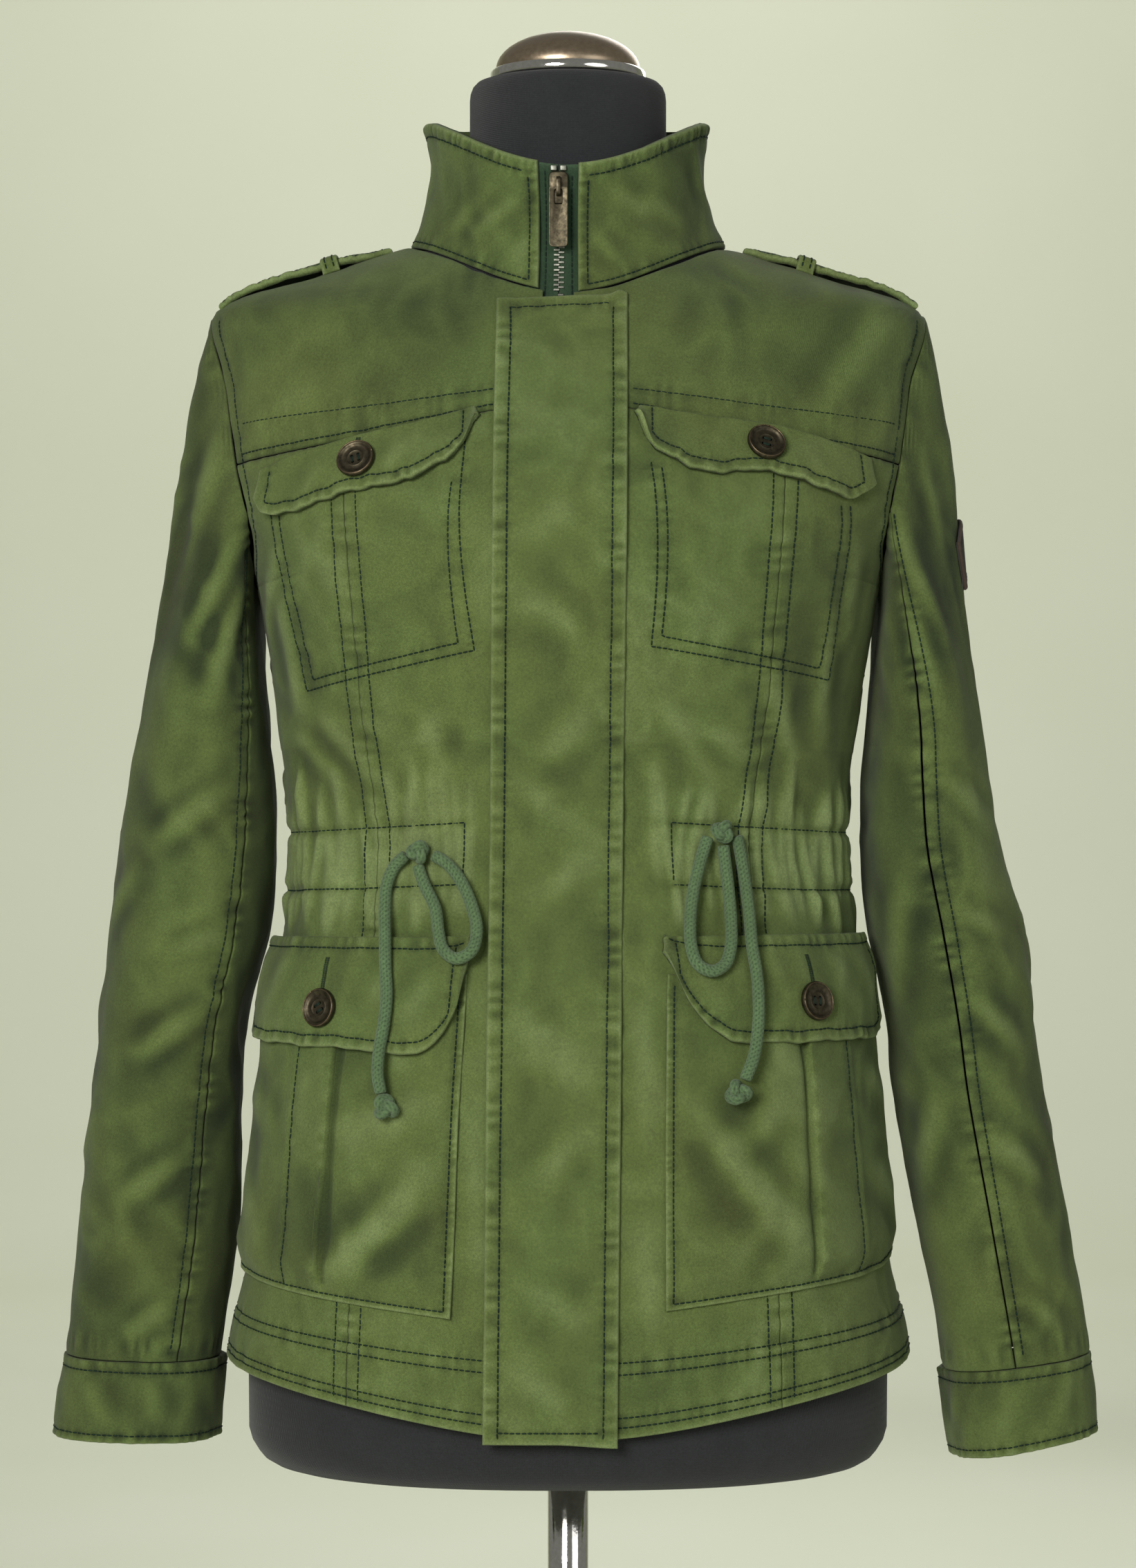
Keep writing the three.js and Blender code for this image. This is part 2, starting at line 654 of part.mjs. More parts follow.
// Chest flaps hang from the yoke seam: distance from the middle plane, top and bottom heights
const chestFlap = {
  right: { from: 47, to: 159, form: table(['x', 'top', 'bottom'], [
    [47, 1057.5, 1053], [53, 1056, 1037], [64, 1053, 1027.5], [81, 1049, 1018.5],
    [113, 1042, 1013], [139, 1035, 1005], [153, 1030, 1005.5], [159, 1027, 1013],
  ]) },
  left: { from: 36, to: 156, form: table(['x', 'top', 'bottom'], [
    [36, 1057.5, 1053], [43, 1057, 1037], [50, 1056, 1031], [71, 1053, 1022.5],
    [97, 1050, 1024], [118, 1046, 1019.5], [144, 1038, 1012], [156, 1033, 1020],
  ]) },
};
const FLAP_STAND = 3.4;        // how far a flap's lower edge stands off

function chestFlapPoint(side, s, t, height) {
  const { from, to, form } = chestFlap[side];
  const x = lerp(from, to, s);
  const z = lerp(form('top', x), form('bottom', x), t);
  const wave = 0.8 * Math.sin(s * 9 + SIDES[side]) * t;
  return cloth(...spot(SIDES[side] * x, z), CLEAR + (FLAP_STAND + wave) * t ** 1.4 + height);
}

const FLAP_COLUMNS = [0, 0.05, 0.13, 0.25, 0.38, 0.5, 0.62, 0.75, 0.85, 0.94, 1];

function addChestFlap(side) {
  addPatch(`chest_flap_${side}`, {
    rows: [0, 0.3, 0.6, 0.85, 1],
    columns: FLAP_COLUMNS,
    innerRows: [0, 0.3, 0.6, 1],
    outer: (s, t) => chestFlapPoint(side, s, t, DOUBLE_CLOTH),
    inner: (s, t) => chestFlapPoint(side, s, t, 0),
  });
}

// A button with a raised rim and a sunk middle, its back towards the cloth
const BUTTON_PROFILE = [[0, 0], [0.86, 0], [1, 0.35], [1, 0.8], [0.9, 1], [0.72, 0.9], [0.6, 0.62],
  [0, 0.62]];
const BUTTON_THICK = 3;

function addButton(name, surface, s, t, seat) {
  const middle = surface(s, t);
  const across = surface(s + 0.02, t).sub(surface(s - 0.02, t));
  const down = surface(s, t + 0.05).sub(surface(s, t - 0.05));
  const out = across.cross(down).normalize();
  if (out.y > 0) out.negate();
  const profile = BUTTON_PROFILE.map(([r, h]) => (
    new THREE.Vector2(r * BUTTON_RADIUS, h * BUTTON_THICK)
  ));
  const geometry = new THREE.LatheGeometry(profile, 14);
  const turn = new THREE.Quaternion().setFromUnitVectors(new THREE.Vector3(0, 1, 0), out);
  geometry.applyQuaternion(turn);
  addGeometry(name, geometry, BRONZE, middle.addScaledVector(out, seat));
}

// Hip pockets wrap round to the side. s runs from the inner edge to the side, t from the bottom up
const POCKET_TOP = 768;
const POCKET_SIDE_ANGLE = 86.5;
const POCKET_RISE = 5.2;
const PLEAT_RISE = 1.5;
const hipPocket = {
  right: {
    inner: table(['z', 'x'], [[590, 59.5], [640, 57], [690, 55], [753, 51.5], [775, 51]]),
    bottom: table(['s', 'z'], [[0, 594], [0.4, 601], [0.75, 607], [1, 611]]),
    pleat: [0.44, 0.6],
  },
  left: {
    inner: table(['z', 'x'], [[590, 49.5], [640, 49], [690, 49], [753, 50], [775, 51]]),
    bottom: table(['s', 'z'], [[0, 598], [0.4, 606], [0.75, 612], [1, 618]]),
    pleat: [0.48, 0.66],
  },
};

// The level whose ring passes a height at an angle
function levelAtHeight(u, z) {
  let v = z;
  for (let k = 0; k < 6; k += 1) v += z - shell(u, v).z;
  return v;
}

function pocketRise(side, s, t) {
  const [fold, root] = hipPocket[side].pleat;
  const edges = ease(s / 0.08) * ease((1 - s) / 0.08) * ease(t / 0.1);
  const pleat = s < fold || s > root ? 0 : PLEAT_RISE * (root - s) / (root - fold);
  return (POCKET_RISE * Math.sqrt(1 - 0.85 * t) + pleat) * edges;
}

function pocketPoint(side, s, t, height) {
  const { inner, bottom } = hipPocket[side];
  const z = lerp(bottom('z', s), POCKET_TOP, t);
  const innerAngle = Math.abs(spot(inner('x', z), z)[0]);
  const u = lerp(innerAngle, POCKET_SIDE_ANGLE, s);
  return cloth(SIDES[side] * u, levelAtHeight(u, z), height);
}

function addHipPocket(side) {
  const [fold, root] = hipPocket[side].pleat;
  addPatch(`hip_pocket_${side}`, {
    rows: [0, 0.03, 0.09, 0.25, 0.45, 0.65, 0.85, 1],
    columns: [0, 0.03, 0.08, 0.2, 0.32, fold - 0.012, fold, (fold + root) / 2, root, 0.78, 0.92,
      0.97, 1],
    innerRows: [0, 0.09, 0.3, 0.6, 1],
    innerColumns: [0, 0.04, 0.1, 0.2, 0.3, 0.4, 0.5, 0.6, 0.7, 0.8, 0.9, 0.96, 1],
    outer: (s, t) => pocketPoint(side, s, t, CLEAR + CLOTH + pocketRise(side, s, t)),
    inner: (s, t) => pocketPoint(side, s, t, CLEAR + 0.65 + 0.7 * pocketRise(side, s, t)),
  });
}

// Hip flaps: angle, top and bottom heights
const hipFlap = {
  right: { from: 25.5, to: 87, form: table(['angle', 'top', 'bottom'], [
    [25.5, 787, 772], [27, 787, 750], [33, 786.5, 729], [50, 786, 729], [70, 785, 730],
    [87, 784, 731],
  ]), button: [0.49, 0.66, 0.1] },
  left: { from: 25, to: 81, form: table(['angle', 'top', 'bottom'], [
    [25, 787, 780], [29.5, 787, 753], [36.5, 787, 735], [42, 787, 732.5], [61, 787, 732],
    [77, 786, 733], [81, 786, 741],
  ]), button: [0.55, 0.64, 0.7] },
};
// How far the flap's back stands off the shell: it passes over the pocket's top
const hipFlapStand = table(['z', 'height'], [
  [725, 8.0], [740, 7.4], [755, 7.0], [766, 6.5], [772, 5.6], [780, 3.2], [787, 1.4], [795, 1.2],
]);

function hipFlapPoint(side, s, t, height) {
  const { from, to, form } = hipFlap[side];
  const u = lerp(from, to, s);
  const z = lerp(form('top', u), form('bottom', u), t);
  return cloth(SIDES[side] * u, levelAtHeight(u, z), hipFlapStand('height', z) + height);
}

function addHipFlap(side) {
  addPatch(`hip_flap_${side}`, {
    rows: [0, 0.12, 0.2, 0.3, 0.55, 0.8, 1],
    columns: [0, 0.03, 0.08, 0.14, 0.28, 0.42, 0.56, 0.7, 0.85, 0.94, 1],
    outer: (s, t) => hipFlapPoint(side, s, t, DOUBLE_CLOTH),
    inner: (s, t) => hipFlapPoint(side, s, t, 0),
  });
}

// Epaulettes run along the shoulder from the armhole's edge to the collar, under a loop
const EPAULETTE = { tip: 184.5, neck: 93, half: 19, arch: 3.4 };
const LOOP = { x: 125, wide: 9 };

function addEpaulette(side) {
  const sign = SIDES[side];
  const place = (s, t, height) => {
    const x = lerp(EPAULETTE.tip, EPAULETTE.neck, t);
    const y = lerp(-1, 1, s) * EPAULETTE.half * (t > 0.9 ? 0.72 : 1);
    const rise = EPAULETTE.arch * Math.sin(Math.PI * t) + height;
    return cloth(...spotAbove(sign * x, y), CLEAR + 0.1 + rise);
  };
  addPatch(`epaulette_${side}`, {
    rows: [0, 0.12, 0.25, 0.4, 0.55, 0.7, 0.85, 1],
    columns: steps(4),
    outer: (s, t) => place(s, t, DOUBLE_CLOTH),
    inner: (s, t) => place(s, t, 0),
  });
  const insidePath = [[-24, 0], [-21.6, 0], [-20.2, 6.4], [0, 6.9], [20.2, 6.4], [21.6, 0],
    [24, 0]];
  const outsidePath = [[-24, 1.5], [-22.8, 1.5], [-20.9, 7.9], [0, 8.4], [20.9, 7.9],
    [22.8, 1.5], [24, 1.5]];
  const along = (path, s, t) => {
    const [y, height] = path[Math.round(s * (path.length - 1))];
    const x = LOOP.x + lerp(-0.5, 0.5, t) * LOOP.wide;
    return cloth(...spotAbove(sign * x, y), CLEAR + height);
  };
  addPatch(`epaulette_loop_${side}`, {
    rows: [0, 1],
    columns: steps(insidePath.length - 1),
    outer: (s, t) => along(outsidePath, s, t),
    inner: (s, t) => along(insidePath, s, t),
  });
}

// Sleeves. turn is the angle round the sleeve: 0 outside, 90 front, 180 next to the body.
// way runs from 0 at the armhole to 1 at a level ring, 2 at the cuff's seam and 3 at its edge.
const SLEEVE_RING = 885;
const sleeveForm = {
  right: table(['z', 'outer', 'inner', 'front', 'rear'], [
    [500, 278, 190, 26, 40], [516, 276, 189.5, 28, 42], [560, 270, 186, 33, 46],
    [632, 261, 177.5, 38, 50], [702, 255, 174, 44, 54], [740, 250, 171, 47, 56],
    [787, 245, 160, 52, 58], [830, 240, 156, 57, 60], [865, 234, 157, 58, 62],
    [885, 230, 159, 59, 63], [900, 227, 161, 59, 63],
  ]),
  left: table(['z', 'outer', 'inner', 'front', 'rear'], [
    [500, 286, 210, 26, 40], [516, 284, 206, 28, 42], [560, 279.5, 200, 33, 46],
    [632, 268, 187, 38, 50], [702, 255, 175, 44, 54], [740, 249, 171, 47, 56],
    [787, 243.5, 160, 52, 58], [830, 231, 156, 57, 60], [865, 225, 157, 58, 62],
    [885, 221.5, 159, 59, 63], [900, 219, 161, 59, 63],
  ]),
};
const sleeveEnds = {
  right: { seam: 560, seamTilt: 1, edge: 516, edgeTilt: 1 },
  left: { seam: 557, seamTilt: 5, edge: 512, edgeTilt: 7 },
};
const FRONT_SEAM_TURN = { right: 122, left: 96 };
const REAR_SEAM_TURN = 236;

function sleeveRing(side, turn, z) {
  const at = (name) => sleeveForm[side](name, z);
  const angle = turn * RADIAN;
  const halfWide = (at('outer') - at('inner')) / 2;
  const halfDeep = (at('front') + at('rear')) / 2;
  const reach = reachAt(angle, halfDeep, halfWide, 2.2);
  const x = at('inner') + halfWide + reach * Math.cos(angle);
  const y = (at('rear') - at('front')) / 2 - reach * Math.sin(angle);
  return new THREE.Vector3(SIDES[side] * x, y, z);
}

function armholePoint(side, turn) {
  const angle = turn * RADIAN;
  const v = ARMHOLE.middle + ARMHOLE.half * Math.cos(angle);
  const widest = Math.sin(angle) > 0 ? ARMHOLE.front : ARMHOLE.back;
  const u = SIDES[side] * (90 - widest * Math.sin(angle));
  return cloth(u, v, CLEAR);
}

function sleevePoint(side, turn, way) {
  const cos = Math.cos(turn * RADIAN);
  const { seam, seamTilt, edge, edgeTilt } = sleeveEnds[side];
  if (way >= 2) {
    const z = lerp(seam + seamTilt * cos, edge + edgeTilt * cos, way - 2);
    return sleeveRing(side, turn, z);
  }
  if (way >= 1) {
    return sleeveRing(side, turn, lerp(SLEEVE_RING, seam + seamTilt * cos, way - 1));
  }
  const start = armholePoint(side, turn);
  const end = sleeveRing(side, turn, SLEEVE_RING);
  const below = sleeveRing(side, turn, SLEEVE_RING - 20);
  const drop = start.z - end.z;
  const leave = new THREE.Vector3(SIDES[side] * (8 + 50 * Math.max(cos, 0)), 0, -0.85 * drop);
  const arrive = below.sub(end).multiplyScalar(drop / 20);
  const t = way;
  return start.multiplyScalar((1 + 2 * t) * (1 - t) ** 2)
    .addScaledVector(end, t * t * (3 - 2 * t))
    .addScaledVector(leave, t * (1 - t) ** 2)
    .addScaledVector(arrive, t * t * (t - 1));
}

// Creases raised on a sleeve: turn0, way0, turn1, way1, half width mm, height
const SLEEVE_CREASES = {
  right: [
    [60, 0.25, 80, 0.95, 9, 2.2], [30, 0.5, 40, 1.15, 10, 2.0], [110, 1.25, 55, 1.38, 9, 2.4],
    [100, 1.5, 40, 1.6, 9, 2.0], [20, 1.4, -30, 1.5, 10, 2.2], [95, 1.75, 30, 1.9, 9, 1.8],
    [-60, 0.4, -70, 1.1, 10, 2.2], [-100, 1.3, -50, 1.45, 9, 2.0],
  ],
  left: [
    [70, 0.3, 75, 1.0, 9, 2.2], [35, 0.45, 45, 1.1, 10, 2.0], [85, 1.3, 30, 1.42, 9, 2.2],
    [80, 1.55, 20, 1.66, 9, 2.0], [10, 1.3, -35, 1.45, 10, 2.2], [80, 1.8, 25, 1.92, 9, 1.8],
    [-60, 0.4, -70, 1.1, 10, 2.2], [-100, 1.35, -50, 1.5, 9, 2.0],
  ],
};
const SLEEVE_MM_PER_DEGREE = 0.85;
const SLEEVE_MM_PER_WAY = 300;

function sleeveCrease(side, turn, way) {
  const scale = SLEEVE_MM_PER_DEGREE / MM_PER_DEGREE;
  const turned = turn > 180 ? turn - 360 : turn;
  return SLEEVE_CREASES[side].reduce((sum, [t0, w0, t1, w1, wide, tall]) => (
    sum + ridge(turned * scale, way * SLEEVE_MM_PER_WAY,
      [t0 * scale, w0 * SLEEVE_MM_PER_WAY, t1 * scale, w1 * SLEEVE_MM_PER_WAY, wide, tall])
  ), 0);
}

// A point moved out from the sleeve. At the armhole it moves away from the hole's middle
function sleeveCloth(side, turn, way, height) {
  const p = sleevePoint(side, turn, way);
  if (way < 1e-6) {
    const middle = shell(SIDES[side] * 90, ARMHOLE.middle);
    return p.clone().addScaledVector(p.clone().sub(middle).normalize(), height);
  }
  const across = sleevePoint(side, turn + 1, way).sub(sleevePoint(side, turn - 1, way));
  const down = sleevePoint(side, turn, way + 0.01).sub(sleevePoint(side, turn, way - 0.01));
  const out = across.cross(down).normalize().multiplyScalar(SIDES[side]);
  return p.addScaledVector(out, height);
}

const SLEEVE_ROWS = [0, 0.1, 0.24, 0.4, 0.58, 0.78, 1, 1.12, 1.24, 1.36, 1.48, 1.6, 1.72, 1.84,
  1.93, 1.999];
const SLEEVE_INNER_ROWS = [0, 0.1, 0.24, 0.5, 0.78, 1, 1.25, 1.5, 1.75, 1.999];

function addSleeve(side) {
  const seam = FRONT_SEAM_TURN[side];
  const gap = 0.75;
  const outer = (from, to) => (s, t) => {
    const turn = lerp(from, to, s);
    const way = t * SLEEVE_ROWS[SLEEVE_ROWS.length - 1];
    return sleeveCloth(side, turn, way, way > 0.02 ? sleeveCrease(side, turn, way) : 0);
  };
  const inner = (from, to) => (s, t) => (
    sleeveCloth(side, lerp(from, to, s), t * SLEEVE_ROWS[SLEEVE_ROWS.length - 1], -CLOTH)
  );
  const last = SLEEVE_ROWS[SLEEVE_ROWS.length - 1];
  const share = (rows) => rows.map((way) => way / last);
  const piece = (name, from, to, columns, innerColumns) => addPatch(name, {
    rows: share(SLEEVE_ROWS),
    columns: steps(columns),
    innerRows: share(SLEEVE_INNER_ROWS),
    innerColumns: steps(innerColumns),
    outer: outer(from, to),
    inner: inner(from, to),
  });
  piece(`sleeve_top_${side}`, REAR_SEAM_TURN - 360 + gap, seam - gap, 15, 11);
  piece(`sleeve_under_${side}`, seam + gap, REAR_SEAM_TURN - gap, 7, 5);
}

// A cuff is a strip round the sleeve's end that laps over itself next to the body
const CUFF = { start: 196, sweep: 374, lap: 2.9, lift: 0.6 };
function addCuff(side) {
  const place = (s, t, height) => {
    const lap = CUFF.lap * ease((s - 0.9) / 0.055);
    return sleeveCloth(side, CUFF.start + CUFF.sweep * s, lerp(2.007, 3, t), height + lap);
  };
  addPatch(`cuff_${side}`, {
    rows: [0, 0.25, 0.75, 1],
    columns: steps(26),
    innerRows: [0, 1],
    innerColumns: steps(20),
    outer: (s, t) => place(s, t, CUFF.lift),
    inner: (s, t) => place(s, t, CUFF.lift - DOUBLE_CLOTH),
  });
}

// A bare patch on the wearer's left sleeve
function addBadge() {
  const place = (s, t, height) => {
    const turn = lerp(34, -6, s);
    const way = lerp(0.49, 0.61, t);
    return sleeveCloth('left', turn, way, height + sleeveCrease('left', turn, way));
  };
  addPatch('sleeve_badge', {
    rows: steps(2),
    columns: steps(4),
    outer: (s, t) => place(s, t, 1.9 + CLEAR),
    inner: (s, t) => place(s, t, 0.5 + CLEAR),
    material: PATCH_BROWN,
  });
}

// The waist drawcord comes out at a knot each side, with a loop and a free end
const cordLift = table(['z', 'lift'], [
  [700, 13.2], [715, 13.8], [730, 14.3], [742, 14.1], [755, 13.6], [766, 12.9], [772, 12.1],
  [780, 10.3], [787, 8.8], [795, 7.6], [806, 6.8], [831, 6.5], [850, 6.5],
]);
const CORDS = {
  right: {
    knot: [-74.3, 829.8],
    seat: { knot: 2.0, end: -0.2 },
    loop: [[-75, 822.3], [-71.5, 812], [-66, 800], [-64, 788], [-61, 779], [-54.5, 774.5],
      [-47.5, 778.5], [-45.2, 789], [-48.5, 803], [-54.5, 816], [-61, 824], [-67.2, 828]],
    tail: [[-80.9, 828.2], [-86.5, 822], [-90.3, 812], [-91, 800], [-90, 785], [-88.6, 770],
      [-87.6, 756], [-88.6, 742], [-91, 727], [-91.7, 716], [-90.3, 707.2]],
    end: [-88.2, 700.3],
  },
  left: {
    knot: [77, 841],
    seat: { knot: 1.0, end: -0.9 },
    loop: [[69.8, 838], [66.5, 826], [63, 811], [60.8, 795], [60.6, 781], [63.5, 771.5],
      [70, 768], [76.5, 771.5], [80, 781], [80.8, 794], [80, 810], [78.6, 823], [77.6, 833.4]],
    tail: [[84.4, 838.5], [86.3, 828], [88.4, 813], [90, 797], [90.2, 781], [91.4, 766],
      [92, 752], [91.5, 739], [89.5, 725], [85.5, 714]],
    end: [82.5, 707.7],
  },
};
const KNOT_RADIUS = 6.4;
const END_KNOT_RADIUS = 7.2;

const onFront = ([x, z], lift) => cloth(...spot(x, z), lift);

function addCord(name, route) {
  const curve = new THREE.CatmullRomCurve3(route.map(([x, z]) => (
    onFront([x, z], cordLift('lift', z))
  )));
  const section = new THREE.Shape();
  for (let k = 0; k < 8; k += 1) {
    const angle = (k + 0.5) * Math.PI / 4;
    const [x, y] = [CORD_RADIUS * Math.cos(angle), CORD_RADIUS * Math.sin(angle)];
    if (k === 0) section.moveTo(x, y);
    else section.lineTo(x, y);
  }
  section.closePath();
  const count = Math.round(curve.getLength() / 10);
  addGeometry(name, new THREE.ExtrudeGeometry(section, {
    steps: count, extrudePath: curve, bevelEnabled: false,
  }), CORD_GREEN);
}

// A knot is a lumpy ball: turns of the cord raise it in bands
function addKnot(name, at, lift, radius) {
  const ball = new THREE.SphereGeometry(radius, 12, 7);
  const position = ball.attributes.position;
  const p = new THREE.Vector3();
  for (let k = 0; k < position.count; k += 1) {
    p.fromBufferAttribute(position, k);
    const band = 0.5 + 0.5 * Math.cos((p.y + 0.6 * p.x) * 5.2 / radius);
    p.multiplyScalar(0.86 + 0.14 * band);
    position.setXYZ(k, p.x, p.y, p.z);
  }
  addGeometry(name, ball, CORD_GREEN, onFront(at, lift));
}

function addDrawcord(side) {
  const { knot, seat, loop, tail, end } = CORDS[side];
  addCord(`drawcord_loop_${side}`, loop);
  addCord(`drawcord_tail_${side}`, tail);
  addKnot(`cord_knot_${side}`, knot, KNOT_RADIUS + seat.knot, KNOT_RADIUS);
  addKnot(`cord_end_${side}`, end, cordLift('lift', end[1]) + seat.end, END_KNOT_RADIUS);
}

// The dress form: the shell drawn in, less at the shoulders that carry the jacket
const formInset = table(['level', 'side', 'middle'], [
  [533, 11, 10], [600, 9, 9], [831, 8, 8], [915, 7, 8], [1000, 7, 8], [1060, 7, 8],
  [1085, 6.5, 7], [1094, 6, 7], [1104, 2.6, 6.5], [1112, 2.3, 6.5], [1121, 5, 8],
]);
const FORM_LEVELS = [533, 565, 610, 660, 710, 755, 795, 831, 870, 910, 950, 985, 1015, 1040,
  1060, ...HIGH_ARMHOLE_LEVELS, ...SHOULDER_LEVELS];
const FORM_BOTTOM_RINGS = [[503, 0.84], [506, 0.92], [513, 0.97], [524, 1]];
const NECK_RINGS = [[1167, 54.8], [1186, 53.2], [1215, NECK_RADIUS], [1240, NECK_RADIUS]];
const FORM_COLUMNS = 28;

function addForm() {
  const angles = steps(FORM_COLUMNS).slice(0, -1).map((t) => t * 360);
  const bottomRings = FORM_BOTTOM_RINGS.map(([z, share]) => angles.map((u) => {
    const angle = u * RADIAN;
    const depth = Math.cos(angle) > 0 ? 115 : 107;
    const reach = share * reachAt(angle, 170, depth, 2.4);
    return new THREE.Vector3(reach * Math.sin(angle), -reach * Math.cos(angle), z);
  }));
  const bodyRings = FORM_LEVELS.map((v) => angles.map((u) => {
    const sideways = Math.sin(u * RADIAN) ** 2;
    const inset = lerp(formInset('middle', v), formInset('side', v), sideways);
    return shell(u, v).addScaledVector(shellNormal(u, v), -inset);
  }));
  const neckRings = NECK_RINGS.map(([z, radius]) => angles.map((u) => (
    new THREE.Vector3(radius * Math.sin(u * RADIAN), -radius * Math.cos(u * RADIAN), z)
  )));
  const rings = [...bottomRings, ...bodyRings, ...neckRings];
  const points = rings.flat();
  const faces = [];
  const n = FORM_COLUMNS;
  for (let r = 0; r < rings.length - 1; r += 1) {
    for (let k = 0; k < n; k += 1) {
      const a = r * n + k;
      const b = r * n + (k + 1) % n;
      faces.push([a, b, a + n], [b, b + n, a + n]);
    }
  }
  const bottom = points.push(new THREE.Vector3(0, 0, FORM_BOTTOM)) - 1;
  const top = points.push(new THREE.Vector3(0, 0, NECK_RINGS[3][0])) - 1;
  const last = (rings.length - 1) * n;
  for (let k = 0; k < n; k += 1) {
    const next = (k + 1) % n;
    faces.push([bottom, next, k], [top, last + k, last + next]);
  }
  addMesh('form_torso', points, faces, KNIT_BLACK);
}

// Turned pieces: a profile of [radius, height] turned about the pole's axis
function addTurned(name, profile, segments, material) {
  const geometry = new THREE.LatheGeometry(
    profile.map(([r, z]) => new THREE.Vector2(r, z)), segments,
  );
  addGeometry(name, geometry.rotateX(Math.PI / 2), material);
}

function addStand() {
  const capFoot = NECK_RINGS[3][0] + 0.3;
  const dome = steps(5).map((t) => {
    const angle = t * Math.PI / 2;
    return [38.5 * Math.cos(angle), capFoot + 7 + 19.5 * Math.sin(angle)];
  });
  addTurned('form_neck_cap', [[0, capFoot], [40.5, capFoot], [41.5, capFoot + 1.5],
    [41.5, capFoot + 4.5], [40.2, capFoot + 6], ...dome.slice(0, -1), [0, capFoot + 26.5]],
  20, SATIN_CHAMPAGNE);
  const socket = POLE_RADIUS + CLEAR;
  const socketFloor = BASE_TOP + 4;
  addTurned('stand_base', [[0, 0], [BASE_RADIUS - 2, 0], [BASE_RADIUS, 2], [BASE_RADIUS, 7],
    [BASE_RADIUS - 5, 10], [60, BASE_TOP - 2], [30, BASE_TOP + 1], [24, BASE_TOP + 6],
    [22, BASE_TOP + 32], [20, BASE_TOP + 34], [socket, BASE_TOP + 34], [socket, socketFloor],
    [0, socketFloor]], 26, CHROME);
  const foot = socketFloor + 0.3;
  const top = FORM_BOTTOM - 0.3;
  addTurned('stand_pole', [[0, foot], [POLE_RADIUS, foot], [POLE_RADIUS, top], [0, top]], 18,
    CHROME);
}

addForm();
addStand();
addBack();
addPlacket();
addCollar();
addSlider();
addPullTab();
addBadge();
Object.keys(SIDES).forEach((side) => {
  addFronts(side);
  addZipTape(side);
  addChestFlap(side);
  addButton(`chest_button_${side}`, (s, t) => chestFlapPoint(side, s, t, DOUBLE_CLOTH), 0.53, 0.5,
    0.7);
  addHipPocket(side);
  addHipFlap(side);
  addButton(`hip_button_${side}`, (s, t) => hipFlapPoint(side, s, t, DOUBLE_CLOTH),
    ...hipFlap[side].button);
  addEpaulette(side);
  addSleeve(side);
  addCuff(side);
  addDrawcord(side);
});

export default jacket;
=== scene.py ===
# An olive cotton utility jacket on a limbless black dress form, with its pole and round base.
# Tables hold millimetres and degrees, meshes hold metres. +Z is up and the front faces -Y.
# right and left are the wearer's: right is at -X.
import math
from functools import partial

import bpy
import numpy as np
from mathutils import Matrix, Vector


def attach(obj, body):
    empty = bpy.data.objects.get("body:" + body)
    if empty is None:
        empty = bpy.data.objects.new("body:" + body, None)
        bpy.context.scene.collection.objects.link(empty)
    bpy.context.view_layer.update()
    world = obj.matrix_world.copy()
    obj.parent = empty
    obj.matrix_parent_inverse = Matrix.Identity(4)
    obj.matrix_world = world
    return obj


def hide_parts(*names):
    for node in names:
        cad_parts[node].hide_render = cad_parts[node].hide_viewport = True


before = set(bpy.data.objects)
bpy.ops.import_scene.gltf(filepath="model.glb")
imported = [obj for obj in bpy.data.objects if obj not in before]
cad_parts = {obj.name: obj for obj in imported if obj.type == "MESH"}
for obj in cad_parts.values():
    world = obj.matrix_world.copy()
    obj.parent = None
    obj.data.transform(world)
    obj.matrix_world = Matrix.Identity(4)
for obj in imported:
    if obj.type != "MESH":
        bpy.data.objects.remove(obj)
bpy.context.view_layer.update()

MM = 0.001
SIDES = {"right": -1, "left": 1}

# Sizes shared with the solids
CLOTH = 1.5
DOUBLE_CLOTH = 2.4
CLEAR = 0.35
SEAM_GAP = 0.16
HEM_LEVEL = 533
HEM_TOP_LEVEL = 568
HEM_LIFT = 0.8
YOKE_LEVEL = 1060
NECK_LEVEL = 1121
ARMHOLE_MIDDLE = 1038.5
ARMHOLE_HALF = 53.5
ARMHOLE_FRONT = 17
ARMHOLE_BACK = 19
FRONT_EDGE = {"right": 13, "left": 3}
ZIP_X = -5
CORD_RADIUS = 3.25

# Camera and what the photograph frames
CAMERA_DISTANCE = 2.2
CAMERA_HEIGHT = 0.865
FRAME_TALL = 0.6079 * 2268 / 1643
SENSOR_WIDTH = 36


def add_camera():
    camera_data = bpy.data.cameras.new("camera")
    camera_data.sensor_fit = "AUTO"
    camera_data.sensor_width = SENSOR_WIDTH
    camera_data.lens = SENSOR_WIDTH * CAMERA_DISTANCE / FRAME_TALL
    camera = bpy.data.objects.new("camera", camera_data)
    camera.location = (0, -CAMERA_DISTANCE, CAMERA_HEIGHT)
    camera.rotation_euler = (math.radians(90), 0, 0)
    bpy.context.scene.collection.objects.link(camera)
    bpy.context.scene.camera = camera


add_camera()


# Number helpers
def blend(low, high, share):
    return low + (high - low) * share


def ease(share):
    share = np.clip(share, 0, 1)
    return share * share * (3 - 2 * share)


def unit(vectors):
    return vectors / np.maximum(np.linalg.norm(vectors, axis=-1, keepdims=True), 1e-9)


def pair(first, second):
    """Two numbers or arrays, brought to one shape."""
    return np.broadcast_arrays(np.asarray(first, float), np.asarray(second, float))


def run_along(points):
    """How far along a line each of its points lies."""
    return np.concatenate([[0], np.cumsum(np.linalg.norm(np.diff(points, axis=0), axis=1))])


